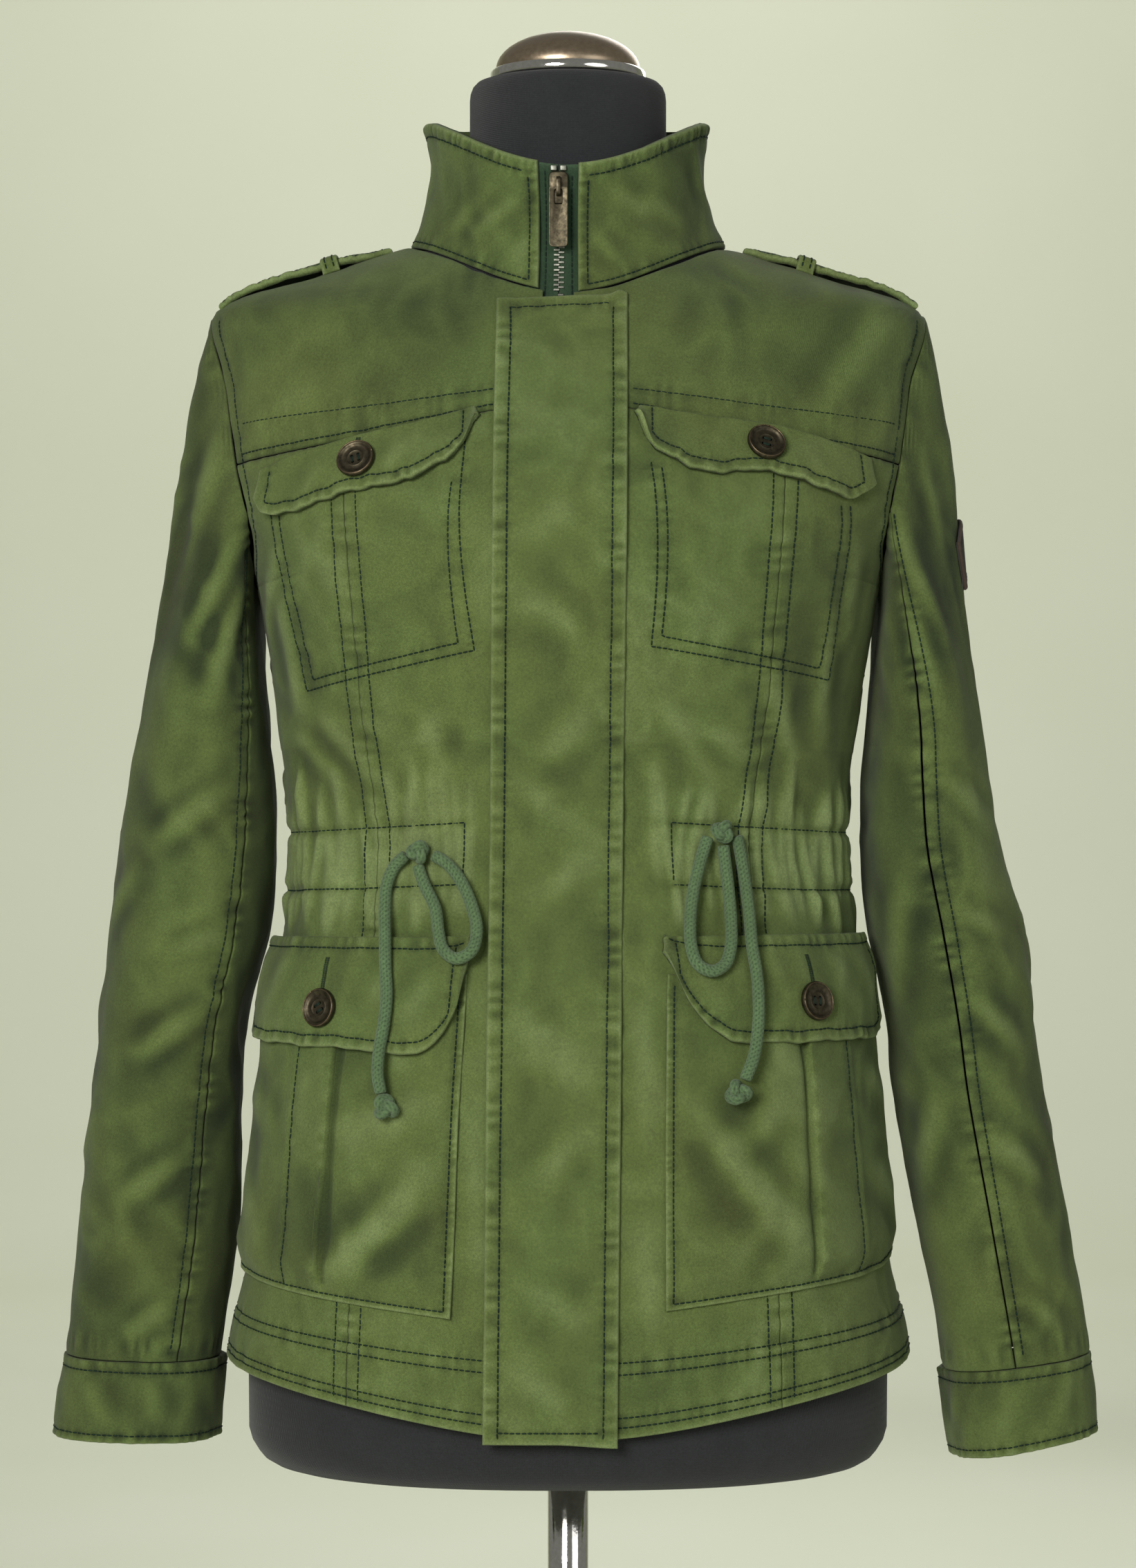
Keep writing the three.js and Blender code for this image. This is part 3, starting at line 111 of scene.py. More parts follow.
def hermite(t, start, end, leave, arrive):
    """A smooth way from start to end as t goes from 0 to 1, with the slopes at both."""
    curve = start * (1 + 2 * t) * (1 - t) ** 2 + end * t * t * (3 - 2 * t)
    return curve + leave * t * (1 - t) ** 2 + arrive * t * t * (t - 1)


def smooth_table(columns, rows):
    """A smooth curve through each named column, keyed by the first, straight beyond the ends."""
    keys = np.array([row[0] for row in rows], float)
    last = len(rows) - 1
    before = np.maximum(np.arange(len(rows)) - 1, 0)
    after = np.minimum(np.arange(len(rows)) + 1, last)
    values = {}
    slopes = {}
    for place, name in enumerate(columns):
        column = np.array([row[place] for row in rows], float)
        values[name] = column
        slopes[name] = (column[after] - column[before]) / (keys[after] - keys[before])

    def read(name, key):
        key = np.asarray(key, float)
        column = values[name]
        slope = slopes[name]
        i = np.clip(np.searchsorted(keys, key, side="right") - 1, 0, last - 1)
        span = keys[i + 1] - keys[i]
        t = np.clip((key - keys[i]) / span, 0, 1)
        inside = hermite(t, column[i], column[i + 1], slope[i] * span, slope[i + 1] * span)
        below = np.minimum(key - keys[0], 0) * slope[0]
        above = np.maximum(key - keys[last], 0) * slope[last]
        return inside + below + above

    return read


# The shell that the jacket's cloth follows: levels across the body
body = smooth_table(["level", "side", "back", "halfWidth", "front", "rear", "square"], [
    [500, 534, 522, 184, 128, 119, 2.5],
    [533, 563, 552, 181, 126, 118, 2.5],
    [568, 586, 578, 177, 124, 117, 2.5],
    [600, 612, 606, 171, 122, 116, 2.5],
    [660, 664, 662, 165, 119, 116, 2.5],
    [722, 722, 722, 160, 115, 113, 2.5],
    [781, 777, 777, 153, 107, 106, 2.45],
    [831, 824, 824, 147, 98, 97, 2.4],
    [870, 862, 862, 149, 101, 96, 2.4],
    [915, 903, 905, 155, 112, 100, 2.4],
    [970, 955, 958, 163, 124, 107, 2.5],
    [1005, 985, 994, 169, 123, 111, 2.65],
    [1040, 1011, 1040, 177, 112, 110, 2.8],
    [1060, 1030, 1070, 182, 103, 105, 2.8],
    [1078, 1075, 1098, 187, 94, 97, 2.6],
    [1092, 1115, 1118, 189, 85, 88, 2.3],
    [1106, 1134, 1138, 138, 76, 75, 2.1],
    [1121, 1151, 1158, 85, 66, 62, 2.0],
    [1130, 1160, 1168, 60, 60, 55, 2.0],
])


def reach_at(sine, cosine, half_width, depth, square):
    """Distance from the axis in a direction, for half sizes and a squareness."""
    across = np.abs(sine) / half_width
    along = np.abs(cosine) / depth
    return (across ** square + along ** square) ** (-1 / square)


def shell(u, v):
    u, v = pair(u, v)
    angle = np.radians(u)
    sine = np.sin(angle)
    cosine = np.cos(angle)
    is_front = cosine >= 0
    depth = np.where(is_front, body("front", v), body("rear", v))
    reach = reach_at(sine, cosine, body("halfWidth", v), depth, body("square", v))
    middle = np.where(is_front, v, body("back", v))
    z = blend(middle, body("side", v), sine ** 2)
    return np.stack([reach * sine, -reach * cosine, z], axis=-1)


def shell_normal(u, v):
    across = shell(u + 0.8, v) - shell(u - 0.8, v)
    up = shell(u, v + 1.5) - shell(u, v - 1.5)
    return unit(np.cross(across, up))


# Broad soft folds: from u0, v0 to u1, v1, half width and height in mm. u is the angle from the
# front's middle to the wearer's left, v the level at the front's middle.
MM_PER_DEGREE = 2.5
FOLDS = [
    [-78, 900, -62, 780, 22, 4.0],
    [66, 905, 80, 775, 22, 4.5],
    [-40, 930, -48, 862, 20, 2.5],
    [38, 935, 46, 860, 20, 3.0],
    [-24, 780, -30, 640, 24, 2.5],
    [24, 770, 22, 620, 24, 2.5],
    [112, 980, 140, 860, 24, 4.5],
    [-112, 975, -142, 855, 24, 4.5],
    [150, 800, 158, 620, 28, 5.0],
    [-150, 790, -160, 610, 28, 5.0],
    [180, 960, 180, 880, 26, 3.0],
]


def ridge(px, py, fold):
    u0, v0, u1, v1, half_width, height = fold
    dx = (u1 - u0) * MM_PER_DEGREE
    dy = v1 - v0
    ex = (px - u0) * MM_PER_DEGREE
    ey = py - v0
    t = np.clip((ex * dx + ey * dy) / (dx * dx + dy * dy), 0, 1)
    away = np.hypot(ex - t * dx, ey - t * dy)
    taper = np.sin(math.pi * blend(0.12, 0.88, t))
    return height * taper * np.exp(-((away / half_width) ** 2) * 1.6)


def drape(u, v):
    turn = np.where(u > 180, u - 360, u)
    total = 0
    for fold in FOLDS:
        over = np.where(np.abs(turn) > 90, ridge(turn - 360 * np.sign(turn), v, fold), 0)
        total = total + ridge(turn, v, fold) + over
    return total


def cloth(u, v, height):
    u, v = pair(u, v)
    rise = height + drape(u, v)
    return shell(u, v) + shell_normal(u, v) * rise[..., None]


def angle_at_x(x, v):
    """The angle where a level reaches a distance from the middle plane."""
    x, v = pair(x, v)
    half_width = body("halfWidth", v)
    square = body("square", v)
    away = np.clip(np.abs(x), 1e-4, half_width * 0.9995)
    slant = body("front", v) * (away ** -square - half_width ** -square) ** (1 / square)
    return np.degrees(np.arctan2(1, slant)) * np.sign(x)


def spot(x, z):
    """The angle and level of a place on the front, seen square on."""
    x, z = pair(x, z)
    v = z.copy()
    for _ in range(9):
        u = angle_at_x(x, v)
        v = v + z - shell(u, v)[..., 2]
    return angle_at_x(x, v), v


def spot_above(x, y):
    """The angle and level of a place on the shoulders, seen from above."""
    x, y = pair(x, y)
    u = np.degrees(np.arctan2(x, -y))
    wanted = np.hypot(x, y)
    low = np.full(x.shape, float(YOKE_LEVEL))
    high = np.full(x.shape, 1129.0)
    for _ in range(26):
        v = (low + high) / 2
        outside = np.hypot(*np.moveaxis(shell(u, v)[..., :2], -1, 0)) > wanted
        low = np.where(outside, v, low)
        high = np.where(outside, high, v)
    return u, low


def level_at_height(u, z):
    u, z = pair(u, z)
    v = z.copy()
    for _ in range(7):
        v = v + z - shell(u, v)[..., 2]
    return v


# The collar: height above the neck seam against half width, front and rear depth
collar_form = smooth_table(["rise", "halfWidth", "front", "rear"], [
    [0, 84, 65.5, 62],
    [14, 78, 64, 60],
    [38, 72.5, 64, 61],
    [66, 76.5, 69, 66],
])
COLLAR_HEIGHT = 66
COLLAR_FRONT = 66
COLLAR_EDGE = {"right": 15.5, "left": 5.5}
COLLAR_THICK = 2.4
COLLAR_CREASES = [
    [-20, 40, -48, 12, 7, 1.8],
    [-30, 58, -62, 26, 7, 1.6],
    [22, 38, 46, 10, 7, 1.8],
    [34, 60, 58, 30, 7, 1.5],
]


def collar_at(angle, rise):
    sine = np.sin(angle)
    cosine = np.cos(angle)
    depth = np.where(cosine >= 0, collar_form("front", rise), collar_form("rear", rise))
    reach = reach_at(sine, cosine, collar_form("halfWidth", rise), depth, 2)
    z = shell(np.degrees(angle), NECK_LEVEL)[..., 2] + rise
    return np.stack([reach * sine, -reach * cosine, z], axis=-1)


def collar_point(u, rise, height):
    u, rise = pair(u, rise)
    angle = np.radians(u)
    across = collar_at(angle + 0.02, rise) - collar_at(angle - 0.02, rise)
    up = collar_at(angle, rise + 1) - collar_at(angle, rise - 1)
    out = unit(np.cross(across, up))
    return collar_at(angle, rise) + out * (np.zeros(u.shape) + height)[..., None]


def collar_crease(u, rise):
    turn = np.where(u > 180, u - 360, u)
    total = 0
    for u0, rise0, u1, rise1, wide, tall in COLLAR_CREASES:
        total = total + ridge(turn * 0.5, rise, [u0 * 0.5, rise0, u1 * 0.5, rise1, wide / 1.25, tall])
    return total


# Sleeves: turn is the angle round the sleeve (0 outside, 90 front), way runs down to the cuff
SLEEVE_RING = 885
FORM_COLUMNS = ["z", "outer", "inner", "front", "rear"]
sleeve_form = {
    "right": smooth_table(FORM_COLUMNS, [
        [500, 278, 190, 26, 40], [516, 276, 189.5, 28, 42], [560, 270, 186, 33, 46],
        [632, 261, 177.5, 38, 50], [702, 255, 174, 44, 54], [740, 250, 171, 47, 56],
        [787, 245, 160, 52, 58], [830, 240, 156, 57, 60], [865, 234, 157, 58, 62],
        [885, 230, 159, 59, 63], [900, 227, 161, 59, 63],
    ]),
    "left": smooth_table(FORM_COLUMNS, [
        [500, 286, 210, 26, 40], [516, 284, 206, 28, 42], [560, 279.5, 200, 33, 46],
        [632, 268, 187, 38, 50], [702, 255, 175, 44, 54], [740, 249, 171, 47, 56],
        [787, 243.5, 160, 52, 58], [830, 231, 156, 57, 60], [865, 225, 157, 58, 62],
        [885, 221.5, 159, 59, 63], [900, 219, 161, 59, 63],
    ]),
}
SLEEVE_ENDS = {
    "right": {"seam": 560, "seamTilt": 1, "edge": 516, "edgeTilt": 1},
    "left": {"seam": 557, "seamTilt": 5, "edge": 512, "edgeTilt": 7},
}
FRONT_SEAM_TURN = {"right": 122, "left": 96}
REAR_SEAM_TURN = 236
SLEEVE_LAST = 1.999
# The sleeves' broad folds: turn and way where each starts and ends, half width, height
SLEEVE_CREASES = {
    "right": [
        [60, 0.25, 80, 0.95, 9, 2.2], [30, 0.5, 40, 1.15, 10, 2.0], [110, 1.25, 55, 1.38, 9, 2.4],
        [100, 1.5, 40, 1.6, 9, 2.0], [20, 1.4, -30, 1.5, 10, 2.2], [95, 1.75, 30, 1.9, 9, 1.8],
        [-60, 0.4, -70, 1.1, 10, 2.2], [-100, 1.3, -50, 1.45, 9, 2.0],
    ],
    "left": [
        [70, 0.3, 75, 1.0, 9, 2.2], [35, 0.45, 45, 1.1, 10, 2.0], [85, 1.3, 30, 1.42, 9, 2.2],
        [80, 1.55, 20, 1.66, 9, 2.0], [10, 1.3, -35, 1.45, 10, 2.2], [80, 1.8, 25, 1.92, 9, 1.8],
        [-60, 0.4, -70, 1.1, 10, 2.2], [-100, 1.35, -50, 1.5, 9, 2.0],
    ],
}
SLEEVE_MM_PER_DEGREE = 0.85
SLEEVE_MM_PER_WAY = 300


def sleeve_ring(side, turn, z):
    read = sleeve_form[side]
    half_wide = (read("outer", z) - read("inner", z)) / 2
    half_deep = (read("front", z) + read("rear", z)) / 2
    angle = np.radians(turn)
    reach = reach_at(np.sin(angle), np.cos(angle), half_deep, half_wide, 2.2)
    x = read("inner", z) + half_wide + reach * np.cos(angle)
    y = (read("rear", z) - read("front", z)) / 2 - reach * np.sin(angle)
    return np.stack([SIDES[side] * x, y, z + np.zeros(x.shape)], axis=-1)


def armhole_point(side, turn):
    angle = np.radians(turn)
    v = ARMHOLE_MIDDLE + ARMHOLE_HALF * np.cos(angle)
    widest = np.where(np.sin(angle) > 0, ARMHOLE_FRONT, ARMHOLE_BACK)
    u = SIDES[side] * (90 - widest * np.sin(angle))
    return cloth(u, v, CLEAR)


def sleeve_point(side, turn, way):
    turn, way = pair(turn, way)
    cosine = np.cos(np.radians(turn))
    ends = SLEEVE_ENDS[side]
    seam = ends["seam"] + ends["seamTilt"] * cosine
    edge = ends["edge"] + ends["edgeTilt"] * cosine
    z = np.where(way >= 2, blend(seam, edge, way - 2), blend(SLEEVE_RING, seam, way - 1))
    lower = sleeve_ring(side, turn, z)
    start = armhole_point(side, turn)
    level = np.full(turn.shape, float(SLEEVE_RING))
    end = sleeve_ring(side, turn, level)
    below = sleeve_ring(side, turn, level - 20)
    drop = start[..., 2] - end[..., 2]
    swing = SIDES[side] * (8 + 50 * np.maximum(cosine, 0))
    leave = np.stack([swing, np.zeros(turn.shape), -0.85 * drop], axis=-1)
    arrive = (below - end) * (drop / 20)[..., None]
    t = np.clip(way, 0, 1)[..., None]
    return np.where((way >= 1)[..., None], lower, hermite(t, start, end, leave, arrive))


def sleeve_crease(side, turn, way):
    scale = SLEEVE_MM_PER_DEGREE / MM_PER_DEGREE
    turned = np.where(turn > 180, turn - 360, turn)
    total = 0
    for turn0, way0, turn1, way1, wide, tall in SLEEVE_CREASES[side]:
        fold = [turn0 * scale, way0 * SLEEVE_MM_PER_WAY, turn1 * scale, way1 * SLEEVE_MM_PER_WAY,
                wide, tall]
        total = total + ridge(turned * scale, way * SLEEVE_MM_PER_WAY, fold)
    return total


def sleeve_out(side, turn, way):
    """The direction out of the sleeve; at the armhole it points away from the hole's middle."""
    across = sleeve_point(side, turn + 1, way) - sleeve_point(side, turn - 1, way)
    down = sleeve_point(side, turn, way + 0.01) - sleeve_point(side, turn, way - 0.01)
    return unit(np.cross(across, down)) * SIDES[side]


def sleeve_cloth(side, turn, way, height):
    turn, way = pair(turn, way)
    height = np.zeros(turn.shape) + height
    points = sleeve_point(side, turn, way)
    middle = shell(SIDES[side] * 90, ARMHOLE_MIDDLE)
    outward = unit(points - middle)
    share = np.clip(way / 0.03, 0, 1)[..., None]
    out = unit(outward * (1 - share) + sleeve_out(side, turn, np.maximum(way, 0.011)) * share)
    return points + out * height[..., None]


# Finishes
def linear(red, green, blue):
    """A colour given as it looks on a screen, 0 to 255, for a shader's socket."""
    parts = []
    for value in (red, green, blue):
        share = value / 255
        parts.append(share / 12.92 if share <= 0.04045 else ((share + 0.055) / 1.055) ** 2.4)
    return (*parts, 1.0)


def effect_group(name, inputs, outputs):
    """A group of shader nodes; inputs are label, kind and value, outputs label and kind."""
    group = bpy.data.node_groups.new(name, "ShaderNodeTree")
    for label, kind, value in inputs:
        socket = group.interface.new_socket(label, in_out="INPUT", socket_type="NodeSocket" + kind)
        if value is not None:
            socket.default_value = value
    for label, kind in outputs:
        group.interface.new_socket(label, in_out="OUTPUT", socket_type="NodeSocket" + kind)
    return group, group.nodes.new("NodeGroupInput"), group.nodes.new("NodeGroupOutput")


def add_node(tree, kind, output, inputs, **settings):
    """Adds a shader node. Each input is a label or number with a socket or a plain value."""
    node = tree.nodes.new("ShaderNode" + kind)
    for label, value in settings.items():
        setattr(node, label, value)
    for label, value in inputs:
        if isinstance(value, (int, float, tuple)):
            node.inputs[label].default_value = value
        else:
            tree.links.new(value, node.inputs[label])
    return node.outputs[output]


def math_node(tree, kind, *values):
    return add_node(tree, "Math", 0, enumerate(values), operation=kind)


def noise_node(tree, vector, scale, detail=3.0, rough=0.55):
    return add_node(tree, "TexNoise", "Fac", [
        ("Scale", scale), ("Detail", detail), ("Roughness", rough), ("Vector", vector)])


def range_node(tree, value, low, high, out_low, out_high):
    return add_node(tree, "MapRange", "Result", [
        ("From Min", low), ("From Max", high), ("To Min", out_low), ("To Max", out_high),
        ("Value", value)])


def mix_node(tree, kind, share, first, second):
    """Mixes two colours by a share of the second."""
    return add_node(tree, "Mix", 2, [(0, share), (6, first), (7, second)], data_type="RGBA",
                    blend_type=kind)


def weave_effect(name, pitch, pattern):
    """A height from 0 to 1, worked out from the ways across and along and the turns in each."""
    group, entry, leave = effect_group(
        name, [("Way", "Vector", None), ("Pitch", "Float", pitch)],
        [("Height", "Float")])
    parts = group.nodes.new("ShaderNodeSeparateXYZ")
    group.links.new(entry.outputs["Way"], parts.inputs[0])
    turns = math_node(group, "DIVIDE", 2 * math.pi, entry.outputs["Pitch"])
    height = pattern(group, entry.outputs["Way"], *parts.outputs[:2], turns)
    group.links.new(height, leave.inputs["Height"])
    return group


def twill_height(group, way, across, along, turns):
    """Slanting twill lines over crossing yarns."""
    work = partial(math_node, group)
    wobble = range_node(group, noise_node(group, way, 260, 2), 0, 1, -0.7, 0.7)
    lines = work("MULTIPLY", work("ADD", across, along), turns)
    lines = work("SINE", work("ADD", lines, wobble))
    yarn = work("SINE", work("MULTIPLY", across, work("MULTIPLY", turns, 1.7)))
    both = work("ADD", work("MULTIPLY", lines, 0.32), work("MULTIPLY", yarn, 0.14))
    return work("ADD", both, 0.5)


def knit_height(group, way, across, along, turns):
    """Small knitted loops in columns."""
    work = partial(math_node, group)
    column = work("MULTIPLY", across, turns)
    loop = work("MULTIPLY", along, work("MULTIPLY", turns, 1.3))
    ribs = work("ABSOLUTE", work("SINE", work("MULTIPLY", column, 0.5)))
    sway = work("MULTIPLY", work("COSINE", column), 1.2)
    loops = work("SINE", work("ADD", loop, sway))
    return work("ADD", work("MULTIPLY", ribs, 0.6), work("MULTIPLY", loops, 0.25))


def wash_and_shade_effect():
    """Cloth colour with washed blotches and flecks of fibre, paler on ridges from wear and painted
    highlight, and darker in hollows and grooves as painted shade.
    """
    group, entry, leave = effect_group(
        "washed cloth",
        [("Place", "Vector", None), ("WearAndShade", "Float", 0.5),
         ("Colour", "Color", None), ("PaleWearAndHighlight", "Color", None),
         ("HollowShade", "Color", None), ("Warm", "Color", None)],
        [("Colour", "Color"), ("Roughness", "Float")])
    place = entry.outputs["Place"]
    wear_and_shade = entry.outputs["WearAndShade"]
    # A low share mixes in the hollow colour, painted shade in hollows and grooves; a high share mixes in the
    # pale colour, wear and painted highlight on ridges and edges.
    low = range_node(group, wear_and_shade, 0.06, 0.5, 0.0, 1.0)
    high = range_node(group, wear_and_shade, 0.52, 1.0, 0.0, 0.85)
    patchy = range_node(group, noise_node(group, place, 95, 4), 0.3, 0.7, 0.55, 1.0)
    colour = mix_node(group, "MIX", low, entry.outputs["HollowShade"], entry.outputs["Colour"])
    colour = mix_node(group, "MIX", math_node(group, "MULTIPLY", high, patchy), colour,
                      entry.outputs["PaleWearAndHighlight"])
    blotch = range_node(group, noise_node(group, place, 11, 3), 0.4, 0.7, 0.0, 0.3)
    colour = mix_node(group, "MIX", blotch, colour, entry.outputs["Warm"])
    cloud = range_node(group, noise_node(group, place, 60, 6), 0.3, 0.7, 0.9, 1.1)
    colour = mix_node(group, "MULTIPLY", 1.0, colour, cloud)
    fleck = range_node(group, noise_node(group, place, 950, 3, 0.75), 0.3, 0.7, 0.74, 1.28)
    colour = mix_node(group, "MULTIPLY", 1.0, colour, fleck)
    group.links.new(colour, leave.inputs["Colour"])
    group.links.new(range_node(group, wear_and_shade, 0, 1, 0.95, 0.84), leave.inputs["Roughness"])
    return group


def tarnish_effect():
    """Metal colour that goes from a dark film to rubbed bright spots."""
    group, entry, leave = effect_group(
        "tarnished metal",
        [("Place", "Vector", None), ("Dark", "Color", None),
         ("Bright", "Color", None), ("Rubbed", "Float", 0.5)],
        [("Colour", "Color"), ("Roughness", "Float"), ("Height", "Float")])
    spots = noise_node(group, entry.outputs["Place"], 420, 5, 0.6)
    share = math_node(group, "ADD", range_node(group, spots, 0.35, 0.65, -0.2, 0.2),
                      entry.outputs["Rubbed"])
    share = range_node(group, share, 0, 1, 0, 1)
    group.links.new(mix_node(group, "MIX", share, entry.outputs["Dark"], entry.outputs["Bright"]),
                    leave.inputs["Colour"])
    group.links.new(range_node(group, share, 0, 1, 0.55, 0.3), leave.inputs["Roughness"])
    group.links.new(spots, leave.inputs["Height"])
    return group


EFFECTS = {
    "twill": weave_effect("twill weave", 0.0009, twill_height),
    "knit": weave_effect("fine knit", 0.0011, knit_height),
    "wash_and_shade": wash_and_shade_effect(),
    "tarnish": tarnish_effect(),
}


def new_material(name):
    material = bpy.data.materials.new(name)
    material.use_nodes = True
    tree = material.node_tree
    return material, tree, tree.nodes["Principled BSDF"]


def place_group(tree, effect):
    node = tree.nodes.new("ShaderNodeGroup")
    node.node_tree = EFFECTS[effect]
    return node


def object_place(tree):
    return add_node(tree, "TexCoord", "Object", [])


def bump(tree, shader, height, depth):
    normal = add_node(tree, "Bump", "Normal", [("Distance", depth), ("Strength", 1.0),
                                               ("Height", height)])
    tree.links.new(normal, shader.inputs["Normal"])


def cloth_material(name, colour, pale, hollow_shade, warm, pitch=0.0009, depth=0.00012, effect="twill",
                   sheen=0.06):
    material, tree, shader = new_material(name)
    wash_and_shade = place_group(tree, "wash_and_shade")
    place = object_place(tree)
    tree.links.new(place, wash_and_shade.inputs["Place"])
    wear_and_shade = add_node(tree, "Attribute", "Fac", [], attribute_name="wear_and_shade")
    tree.links.new(wear_and_shade, wash_and_shade.inputs["WearAndShade"])
    for label, value in (("Colour", colour), ("PaleWearAndHighlight", pale), ("HollowShade", hollow_shade), ("Warm", warm)):
        wash_and_shade.inputs[label].default_value = linear(*value)
    tree.links.new(wash_and_shade.outputs["Colour"], shader.inputs["Base Color"])
    tree.links.new(wash_and_shade.outputs["Roughness"], shader.inputs["Roughness"])
    weave = place_group(tree, effect)
    weave.inputs["Pitch"].default_value = pitch
    tree.links.new(add_node(tree, "UVMap", "UV", [], uv_map="cloth_way"), weave.inputs["Way"])
    grain = math_node(tree, "MULTIPLY", noise_node(tree, place, 900, 3, 0.6), 0.9)
    bump(tree, shader, math_node(tree, "ADD", weave.outputs["Height"], grain), depth)
    shader.inputs["Sheen Weight"].default_value = sheen
    shader.inputs["Sheen Roughness"].default_value = 0.55
    shader.inputs["Specular IOR Level"].default_value = 0.25
    return material


def metal_material(name, dark, bright, rubbed, roughness=None):
    material, tree, shader = new_material(name)
    tarnish = place_group(tree, "tarnish")
    tree.links.new(object_place(tree), tarnish.inputs["Place"])
    tarnish.inputs["Dark"].default_value = linear(*dark)
    tarnish.inputs["Bright"].default_value = linear(*bright)
    tarnish.inputs["Rubbed"].default_value = rubbed
    tree.links.new(tarnish.outputs["Colour"], shader.inputs["Base Color"])
    if roughness is None:
        tree.links.new(tarnish.outputs["Roughness"], shader.inputs["Roughness"])
    else:
        low, high = roughness
        tree.links.new(range_node(tree, tarnish.outputs["Height"], 0.3, 0.7, low, high),
                       shader.inputs["Roughness"])
    shader.inputs["Metallic"].default_value = 1.0
    bump(tree, shader, tarnish.outputs["Height"], 0.00003)
    return material


def thread_material(name, colour, pale):
    material, tree, shader = new_material(name)
    place = object_place(tree)
    share = range_node(tree, noise_node(tree, place, 700, 2), 0.35, 0.65, 0.0, 1.0)
    tree.links.new(mix_node(tree, "MIX", share, linear(*colour), linear(*pale)),
                   shader.inputs["Base Color"])
    tree.links.new(range_node(tree, noise_node(tree, place, 2500, 2), 0, 1, 0.55, 0.85),
                   shader.inputs["Roughness"])
    shader.inputs["Specular IOR Level"].default_value = 0.2
    return material


# Each cloth's colour, then its pale colour for worn ridges and painted highlight, its dark colour for
# painted shade in hollows and grooves, and its warm colour for a blotch
MATERIALS = {
    "olive": cloth_material("washed olive cotton", (81, 96, 50), (120, 135, 88), (38, 49, 26),
                            (86, 92, 46)),
    "tape": cloth_material("dark green zip tape", (40, 60, 42), (62, 84, 60), (22, 36, 26),
                           (44, 62, 40), pitch=0.0007),
    "cord": cloth_material("green braided cord", (74, 97, 64), (104, 128, 92), (34, 50, 34),
                           (78, 96, 60), pitch=0.0006, sheen=0.12),
    "patch": cloth_material("dark woven patch", (46, 36, 30), (74, 62, 52), (28, 22, 19),
                            (54, 40, 31), pitch=0.0006),
    "knit": cloth_material("black knitted cover", (34, 36, 38), (56, 58, 60), (20, 21, 23),
                           (36, 36, 37), pitch=0.0013, depth=0.00016, effect="knit", sheen=0.12),
    "thread": thread_material("bluish green thread", (13, 28, 21), (24, 43, 33)),
    "bronze": metal_material("dark antique bronze", (48, 44, 36), (116, 107, 86), 0.3),
    "rubbed": metal_material("rubbed bronze", (66, 56, 44), (140, 122, 98), 0.5),
    "tooth": metal_material("dull zip teeth", (70, 72, 68), (160, 160, 148), 0.5),
    "satin": metal_material("satin champagne metal", (158, 140, 118), (186, 168, 144), 0.5, (0.3, 0.38)),
    "chrome": metal_material("polished chrome", (196, 192, 184), (232, 230, 224), 0.6, (0.06, 0.11)),
}


# Uneven but repeatable waves
def waves(points, length, seed, count=7):
    """Smooth uneven waves, about -1 to 1, from a few plane waves in spread directions."""
    chance = np.random.default_rng(seed)
    total = 0
    for _ in range(count):
        direction = unit(chance.normal(size=3))
        turns = 2 * math.pi / (length * chance.uniform(0.7, 1.5))
        total = total + np.sin(points @ direction * turns + chance.uniform(0, 2 * math.pi))
    return total / math.sqrt(count)


def rumple(points, seed, soft, fine):
    """Soft swells and finer creased hollows of washed cloth, in mm."""
    bent = points + 6 * np.stack([
        waves(points, 55, seed + 11), waves(points, 55, seed + 12), waves(points, 55, seed + 13),
    ], axis=-1)
    swell = waves(bent, 85, seed) * soft
    crease = waves(bent * np.array([1.3, 1, 0.75]), 34, seed + 1)
    sharp = 1 - 2 * np.sqrt(crease ** 2 + 0.02)
    return swell + sharp * fine + waves(bent, 13, seed + 2) * fine * 0.3


